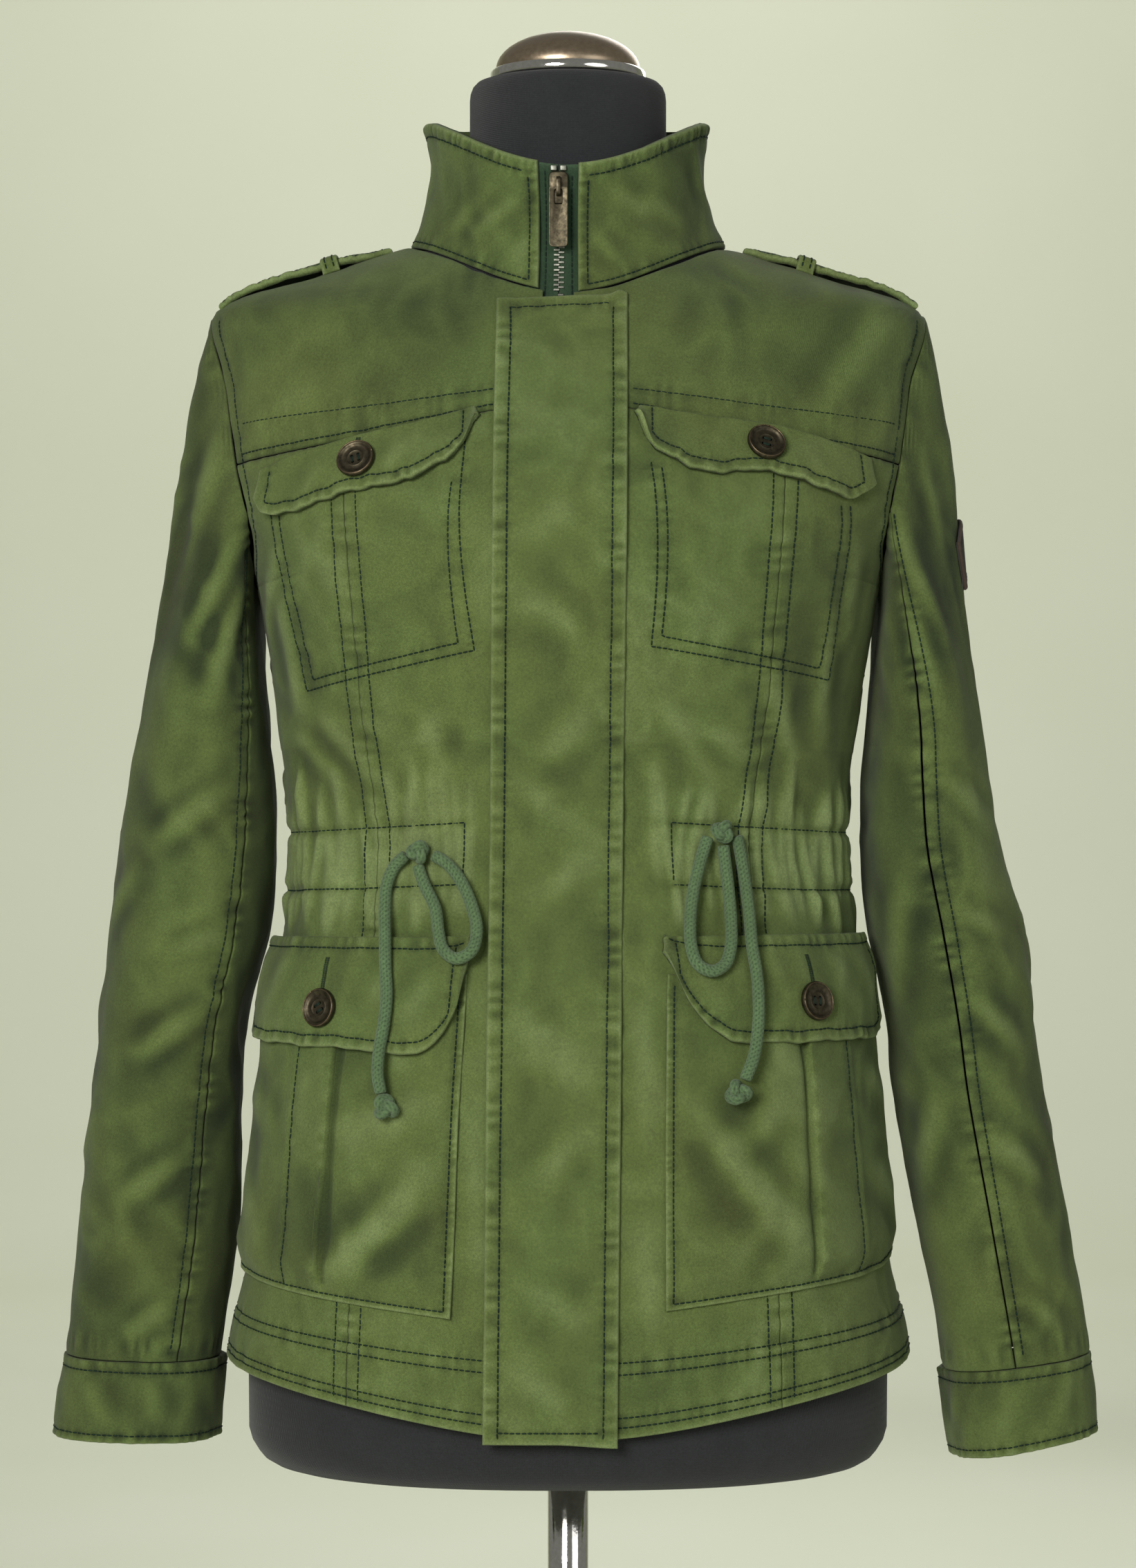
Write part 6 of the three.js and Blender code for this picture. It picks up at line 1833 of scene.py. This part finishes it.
def start_piece(name, scale=(1, 1, 1), location=None):
    """Names the new primitive, and puts its size and place into its mesh."""
    piece = bpy.context.object
    piece.name = name
    piece.data.name = name
    piece.scale = scale
    if location is not None:
        piece.location = location
    bpy.ops.object.transform_apply(location=True, rotation=True, scale=True)
    return piece


def box(name, low, high):
    """A box primitive between two corners in mm, its place in its mesh."""
    clear_selection()
    low, high = np.array(low, float), np.array(high, float)
    bpy.ops.mesh.primitive_cube_add(size=MM)
    return start_piece(name, (high - low).tolist(), ((low + high) / 2 * MM).tolist())


def choose(piece, test, kind="FACE"):
    """Selects the faces or edges whose middle passes a test, in mm, and enters edit mode."""
    bpy.ops.object.mode_set(mode="OBJECT")
    mesh = piece.data
    bpy.ops.object.mode_set(mode="EDIT")
    bpy.ops.mesh.select_mode(type=kind)
    bpy.ops.mesh.select_all(action="DESELECT")
    bpy.ops.object.mode_set(mode="OBJECT")
    for item in (mesh.polygons if kind == "FACE" else mesh.edges):
        corners = [mesh.vertices[i].co / MM for i in item.vertices]
        middle = sum(corners, Vector()) / len(corners)
        item.select = bool(test(middle, corners))
    bpy.ops.object.mode_set(mode="EDIT")


def leave_edit():
    bpy.ops.object.mode_set(mode="OBJECT")


def make_active(piece):
    clear_selection()
    bpy.context.view_layer.objects.active = piece
    piece.select_set(True)


def apply_modifier(piece, kind, **settings):
    modifier = piece.modifiers.new(kind.lower(), kind)
    for label, value in settings.items():
        setattr(modifier, label, value)
    make_active(piece)
    bpy.ops.object.modifier_apply(modifier=modifier.name)


def bevel(piece, width, segments=3, angle=40):
    apply_modifier(piece, "BEVEL", width=width * MM, segments=segments, limit_method="ANGLE",
                   angle_limit=math.radians(angle))


def bevel_edges(piece, test, offset, segments=5):
    choose(piece, test, "EDGE")
    bpy.ops.mesh.bevel(offset=offset * MM, segments=segments, affect="EDGES")
    leave_edit()


def press_faces(piece, test, border, push):
    """Insets the faces that pass a test and moves them along Y."""
    choose(piece, test)
    bpy.ops.mesh.inset(thickness=border * MM)
    bpy.ops.transform.translate(value=(0, push * MM, 0))
    leave_edit()


def cut_away(piece, cutter):
    apply_modifier(piece, "BOOLEAN", operation="DIFFERENCE", solver="EXACT", object=cutter)
    bpy.data.objects.remove(cutter, do_unlink=True)


def finish_hard(piece, material, nodes=(), ride_on="root"):
    make_active(piece)
    bpy.ops.object.shade_smooth_by_angle(angle=math.radians(35))
    piece.data.materials.clear()
    piece.data.materials.append(MATERIALS[material])
    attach(piece, ride_on)
    if nodes:
        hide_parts(*nodes)
    return piece


def turned(name, profile, sides=96):
    """A round piece drawn up from a circle by extruding and scaling; profile is radius, height."""
    clear_selection()
    radius, height = profile[0]
    bpy.ops.mesh.primitive_circle_add(vertices=sides, radius=radius * MM, fill_type="NGON",
                                      location=(0, 0, height * MM))
    piece = start_piece(name)
    bpy.ops.object.mode_set(mode="EDIT")
    bpy.ops.mesh.select_mode(type="FACE")
    bpy.ops.mesh.select_all(action="SELECT")
    for next_radius, next_height in profile[1:]:
        rise = (0, 0, (next_height - height) * MM)
        bpy.ops.mesh.extrude_region_move(TRANSFORM_OT_translate={"value": rise})
        share = next_radius / radius
        bpy.ops.transform.resize(value=(share, share, 1), center_override=(0, 0, next_height * MM))
        radius, height = next_radius, next_height
    bpy.ops.mesh.select_all(action="SELECT")
    bpy.ops.mesh.normals_make_consistent(inside=False)
    leave_edit()
    return piece


def add_stand():
    base = turned("stand_foot", [(168, 0), (170, 2), (170, 6.5), (168.5, 8.6), (165, 10), (110, 12.4),
                                 (60, 14), (40, 15.4), (30, 17.4), (26, 20), (24, 24), (22.6, 34),
                                 (22, 47.6), (21.4, 49), (20, 50), (11.2, 50), (11.15, 20.1)])
    finish_hard(base, "chrome", ["stand_base"])
    pole = turned("stand_tube", [(10.2, 20.3), (10.8, 20.9), (10.8, 502.1), (10.4, 502.7)], 64)
    finish_hard(pole, "chrome", ["stand_pole"])
    foot = 1240.3
    strip = turned("neck_cap_foot", [(40.1, foot), (40.9, foot + 0.5), (41.5, foot + 1.5),
                                     (41.5, foot + 4.5), (41, foot + 5.4), (40.2, foot + 6)])
    finish_hard(strip, "chrome", ["form_neck_cap"])
    dome = [(38.2, foot + 5.8), (38.5, foot + 7)]
    dome += [(38.5 * math.cos(math.radians(a)), foot + 7 + 19.5 * math.sin(math.radians(a)))
             for a in (5, 11, 18, 26, 34, 43, 52, 61, 70, 78, 84, 88.5)]
    cap = turned("neck_cap_dome", dome)
    finish_hard(cap, "satin", ["form_neck_cap"])


form_inset = smooth_table(["level", "side", "middle"], [
    [533, 11, 10], [600, 9, 9], [831, 8, 8], [915, 7, 8], [1000, 7, 8], [1060, 7, 8], [1085, 6.5, 7],
    [1094, 6, 7], [1104, 2.6, 6.5], [1112, 2.3, 6.5], [1121, 5, 8],
])
FORM_FOOT = [(503, 0.8), (503.3, 0.84), (504.6, 0.885), (506.5, 0.925), (509.5, 0.955), (513, 0.972),
             (518, 0.99), (524, 1.0)]
FORM_NECK = [(1167, 54.8), (1176, 53.9), (1186, 53.2), (1200, 52.7), (1215, 52.5), (1230, 52.5),
             (1233.5, 52.1), (1236.6, 50.9), (1238.8, 48.8), (1239.8, 46), (1240, 42)]


def add_form():
    columns = 192
    u = np.arange(columns) * 360 / columns
    angle = np.radians(u)
    sine, cosine = np.sin(angle), np.cos(angle)
    rings = []
    for z, share in FORM_FOOT:
        depth = np.where(cosine >= 0, 115, 107)
        reach = reach_at(sine, cosine, 170, depth, 2.4) * share
        rings.append(np.stack([reach * sine, -reach * cosine, np.full(columns, float(z))], axis=-1))
    for v in [533, 545, 560, *range(580, 1061, 20), 1070, 1078, 1085, 1092, 1098, 1104, 1112, 1121]:
        inset = blend(form_inset("middle", v), form_inset("side", v), sine ** 2)
        rings.append(shell(u, float(v)) - shell_normal(u, float(v)) * inset[:, None])
    for z, radius in FORM_NECK:
        rings.append(np.stack([radius * sine, -radius * cosine, np.full(columns, float(z))], axis=-1))
    piece = tube_mesh("knitted_form", np.array(rings), MATERIALS["knit"])
    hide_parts("form_torso")


# Buttons: one modelled, four placed, each sewn on through four holes
BUTTON_RADIUS = 10.2
BUTTON_THICK = 3.0
HOLE_AWAY = 1.75


def model_button():
    rounds = [(9.2, 0), (9.9, 0.35), (10.2, 1.0), (10.2, 2.1), (9.9, 2.75), (9.3, 3.0), (8.5, 2.9),
              (7.9, 2.45), (7.4, 2.05), (6.6, 1.9), (4.8, 1.95), (4.4, 2.1), (4.0, 1.95), (3.0, 1.9)]
    button = turned("button_pattern", rounds, 64)
    for across in (-HOLE_AWAY, HOLE_AWAY):
        for along in (-HOLE_AWAY, HOLE_AWAY):
            clear_selection()
            bpy.ops.mesh.primitive_cylinder_add(vertices=14, radius=0.85 * MM, depth=8 * MM,
                                                location=(across * MM, along * MM, 1.5 * MM))
            cut_away(button, start_piece("button_hole"))
    return button


def add_buttons():
    pattern = model_button()
    points = np.array([vertex.co for vertex in pattern.data.vertices])
    threads = THREADS.setdefault("buttons", [])
    for number, (name, middle, out) in enumerate(BUTTONS):
        tilt = 0.35 + number * 0.9
        side = unit(np.cross([0.0, 0.0, 1.0], out))
        up = np.cross(out, side)
        across = side * math.cos(tilt) + up * math.sin(tilt)
        along = np.cross(out, across)
        turn = np.stack([across, along, out], axis=-1)
        mesh = pattern.data.copy()
        mesh.name = name
        mesh.vertices.foreach_set("co", (points @ turn.T + middle * MM).ravel())
        piece = bpy.data.objects.new(f"bronze_{name}", mesh)
        bpy.context.scene.collection.objects.link(piece)
        finish_hard(piece, "bronze", [name])
        for away in (-HOLE_AWAY - 0.3, -HOLE_AWAY + 0.3, HOLE_AWAY - 0.3, HOLE_AWAY + 0.3):
            start = middle + across * away - along * (HOLE_AWAY + 0.2) + out * 2.0
            end = middle + across * away + along * (HOLE_AWAY + 0.2) + out * 2.0
            threads.append((start[None], end[None], out[None]))
        ring = np.linspace(0, 2 * math.pi, 65)
        way = np.cos(ring)[:, None] * across + np.sin(ring)[:, None] * along
        line = middle + BUTTON_RADIUS * 0.93 * way + out * (BUTTON_THICK - 0.12)
        rings, _ = cord_rings(line, 0.34, 0.0, 8, closed=True)
        edge = tube_mesh(f"worn_rim_{name}", rings, MATERIALS["rubbed"])
    bpy.data.objects.remove(pattern, do_unlink=True)


def buttonhole(surface, start, end):
    """A slit with close stitches laid across both its edges, above a button."""
    lines = THREADS.setdefault("buttonholes", [])
    (s0, t0), (s1, t1) = start, end
    first, _ = surface.place(np.array([s0]), np.array([t0]), 0.1)
    last, _ = surface.place(np.array([s1]), np.array([t1]), 0.1)
    count = max(4, int(np.linalg.norm(last - first) / 0.55))
    share = np.linspace(0, 1, count)
    s, t = blend(s0, s1, share), blend(t0, t1, share)
    middle, _ = surface.place(s, t, 0.12)
    out = surface.normal(s, t)
    heading = unit(last[0] - first[0])
    across = unit(np.cross(out, heading))
    for near, far in ((0.12, 1.25), (-0.12, -1.25)):
        lines.append((middle + across * near, middle + across * far, out))


# One stitch modelled, then laid along every row of sewing
STITCH_GIRTH = {"buttons": 0.75, "buttonholes": 0.5}


def model_stitch():
    clear_selection()
    bpy.ops.mesh.primitive_uv_sphere_add(segments=5, ring_count=4, radius=0.5,
                                         rotation=(0, math.radians(90), 0))
    return start_piece("stitch_pattern")


def add_threads():
    stitch = model_stitch()
    points = np.array([vertex.co for vertex in stitch.data.vertices])
    points[:, 0] = np.sign(points[:, 0]) * np.abs(points[:, 0] * 2) ** 0.6 / 2
    faces = np.array([(*face.vertices, face.vertices[2])[:4] for face in stitch.data.polygons])
    is_three = np.array([len(face.vertices) == 3 for face in stitch.data.polygons])
    for group, lines in THREADS.items():
        starts, ends, outs = (np.concatenate([line[k] for line in lines]) for k in range(3))
        girth = STITCH_GIRTH.get(group, 0.95)
        heading = ends - starts
        length = np.linalg.norm(heading, axis=1)
        good = length > 0.4
        starts, ends, outs, heading, length = (x[good] for x in (starts, ends, outs, heading, length))
        heading = unit(heading)
        across = unit(np.cross(outs, heading))
        up = np.cross(heading, across)
        middle = (starts + ends) / 2
        laid = (middle[:, None]
                + points[None, :, :1] * (length + 0.3)[:, None, None] * heading[:, None]
                + points[None, :, 1:2] * girth * across[:, None]
                + points[None, :, 2:] * girth * 0.8 * up[:, None])
        all_faces = []
        for number in range(len(laid)):
            moved = faces + number * len(points)
            all_faces += [tuple(face[:3]) if three else tuple(face)
                          for face, three in zip(moved.tolist(), is_three)]
        laid = laid.reshape(-1, 3)
        piece = finish_mesh(f"thread_{group}", laid, outward_faces(laid, all_faces), MATERIALS["thread"])
    bpy.data.objects.remove(stitch, do_unlink=True)


# The zip's metal
TOOTH_PITCH = 2.6
TEETH_TOP = 1164.5


def add_teeth():
    tooth = box("tooth_pattern", (0, -0.65, -0.62), (3.1, 0.65, 0.62))
    bevel(tooth, 0.28, 2)
    points = np.array([vertex.co for vertex in tooth.data.vertices]) / MM
    pattern_faces = [tuple(face.vertices) for face in tooth.data.polygons]
    bpy.data.objects.remove(tooth, do_unlink=True)
    for side, sign in SIDES.items():
        start = TAPE_LOW + 6 + (TOOTH_PITCH / 2 if side == "left" else 0)
        levels = np.arange(start, TEETH_TOP, TOOTH_PITCH)
        middle = zip_point(ZIP_X - sign * 0.35, levels, -0.55)
        ahead = zip_point(ZIP_X - sign * 0.35, levels + 1, -0.55)
        up = unit(ahead - middle)
        across = np.zeros(up.shape) + [sign, 0, 0]
        out = unit(np.cross(across, up)) * sign
        laid = (middle[:, None] + points[None, :, :1] * across[:, None]
                - points[None, :, 1:2] * out[:, None] + points[None, :, 2:] * up[:, None])
        count = len(points)
        faces = [tuple(i + number * count for i in face) for number in range(len(levels))
                 for face in pattern_faces]
        laid = laid.reshape(-1, 3)
        if sign < 0:
            faces = [face[::-1] for face in faces]
        piece = finish_mesh(f"zip_teeth_{side}", laid, faces, MATERIALS["tooth"], smooth=False)


def is_deep(middle, corners):
    """Whether an edge runs from the front to the rear."""
    return abs(corners[0].y - corners[1].y) > 1


def add_slider():
    x, z = ZIP_X, 1174.5
    plate = box("zip_slider_plate", (x - 5, -67.07, z - 8.5), (x + 5, -64.67, z + 8.5))
    bevel_edges(plate, is_deep, 2.6)
    press_faces(plate, lambda middle, corners: middle.y < -67.0, 0.7, -0.25)
    bevel(plate, 0.3, 2)
    bail = box("slider_bail", (x - 1.1, -71.57, z - 4.6), (x + 1.1, -66.9, z + 5.6))
    bevel_edges(bail, lambda middle, corners: middle.y < -71 and abs(corners[0].x - corners[1].x) > 1, 2.4)
    hole = box("bail_hole", (x - 3, -70.07, z + 0.5 - 3.6), (x + 3, -67.35, z + 0.5 + 3.6))
    bevel(hole, 0.8, 3)
    cut_away(bail, hole)
    bevel(bail, 0.22, 2, 50)
    make_active(plate)
    bail.select_set(True)
    bpy.ops.object.join()
    finish_hard(plate, "bronze", ["zip_slider"])
    for number, middle in enumerate((x - 2.5, x + 2.5)):
        stop = box(f"zip_stop_{number}", (middle - 1.7, -66.6, 1183.4), (middle + 1.7, -64.9, 1186.4))
        bevel(stop, 0.5, 3)
        finish_hard(stop, "tooth")


def add_pull_tab():
    x, top, front, rear = ZIP_X, 1174.6, -69.32, -67.82
    tab = box("pull_tab_plate", (x - 4.85, front, top - 31), (x + 4.85, rear, top))
    bevel_edges(tab, lambda middle, corners: is_deep(middle, corners) and middle.z < 1160, 2.2)
    bevel_edges(tab, lambda middle, corners: is_deep(middle, corners) and middle.z > 1160, 0.9, 4)
    for level, push in ((front, 0.16), (rear, -0.16)):
        press_faces(tab, lambda middle, corners, level=level: abs(middle.y - level) < 0.01, 0.8, push)
    slot_cut = box("tab_slot", (x - 2.2, front - 2, top - 9.0), (x + 2.2, rear + 2, top - 1.2))
    bevel_edges(slot_cut, is_deep, 0.9, 4)
    cut_away(tab, slot_cut)
    bevel(tab, 0.18, 2, 50)
    finish_hard(tab, "bronze", ["zip_pull_tab"], "pull_tab")


NARROWEST_CUT = 10.2


def declare_sheets():
    for piece, cut, area, rests_on in SHEETS:
        width, length = (max(side, NARROWEST_CUT) * MM for side in cut)
        area = area * MM * MM
        grow = max(1.0, math.sqrt(area / (width * length)))
        width, length = width * grow, length * grow


# Floor, backdrop and light
FLOOR_WIDE = 20
BACKDROP = {"start": 5.0, "curve": 1.6, "tall": 5.0}


def add_stage():
    clear_selection()
    bpy.ops.mesh.primitive_plane_add(size=1)
    floor = start_piece("pale_floor", (FLOOR_WIDE, 1, 1), (0, -3.5, 0))
    start, curve = BACKDROP["start"], BACKDROP["curve"]
    path = [(start, 0.0)]
    path += [(start + curve * math.sin(math.radians(a)), curve - curve * math.cos(math.radians(a)))
             for a in range(5, 91, 5)]
    path += [(start + curve, BACKDROP["tall"])]
    choose(floor, lambda middle, corners: middle.y > -3100, "EDGE")
    y, z = -3.0, 0.0
    for next_y, next_z in path:
        bpy.ops.mesh.extrude_region_move(TRANSFORM_OT_translate={"value": (0, next_y - y, next_z - z)})
        y, z = next_y, next_z
    leave_edit()
    material, tree, shader = new_material("pale backdrop")
    soft = range_node(tree, noise_node(tree, object_place(tree), 1.5, 2), 0.3, 0.7, 0.0, 1.0)
    tree.links.new(mix_node(tree, "MIX", soft, linear(222, 226, 204), linear(226, 229, 209)),
                   shader.inputs["Base Color"])
    shader.inputs["Roughness"].default_value = 0.9
    floor.data.materials.append(material)
    bpy.ops.object.shade_smooth()


def add_light(name, size, power, place, aim, colour=(1, 1, 1)):
    data = bpy.data.lights.new(name, "AREA")
    data.shape = "DISK"
    data.size = size
    data.energy = power
    data.color = colour
    light = bpy.data.objects.new(name, data)
    light.location = place
    direction = Vector(aim) - Vector(place)
    light.rotation_euler = direction.to_track_quat("-Z", "Y").to_euler()
    bpy.context.scene.collection.objects.link(light)


def add_lights():
    add_light("key", 1.1, 66, (-0.9, -2.5, 1.5), (0, 0, 0.86), (1.0, 0.985, 0.95))
    add_light("fill", 1.8, 12, (1.9, -2.1, 1.5), (0, 0, 0.85), (0.98, 0.99, 1.0))
    add_light("backdrop", 3.0, 78, (0, 3.6, 3.6), (0, 6.4, 0.9), (1.0, 1.0, 0.98))
    add_light("rear", 1.8, 26, (0.7, 2.5, 2.0), (0, 0, 0.9), (1.0, 1.0, 1.0))
    world = bpy.data.worlds.new("studio")
    world.use_nodes = True
    background = world.node_tree.nodes["Background"]
    background.inputs["Color"].default_value = linear(232, 233, 226)
    background.inputs["Strength"].default_value = 0.25
    bpy.context.scene.world = world
    bpy.context.scene.view_settings.view_transform = "Standard"


# Making: the cords first, then the cloth from the body out, then the hard pieces
add_cords()
sew_body()
add_front("right", -1)
add_front("left", 1)
add_back()
sew(body_cloth, "body")
add_placket()
add_collar()
add_chest_flaps()
add_hip_pockets()
add_hip_flaps()
add_epaulettes()
add_sleeves()
add_patch()
add_tapes()
add_teeth()
add_slider()
add_pull_tab()
add_buttons()
add_threads()
add_form()
add_stand()
declare_sheets()
add_stage()
add_lights()
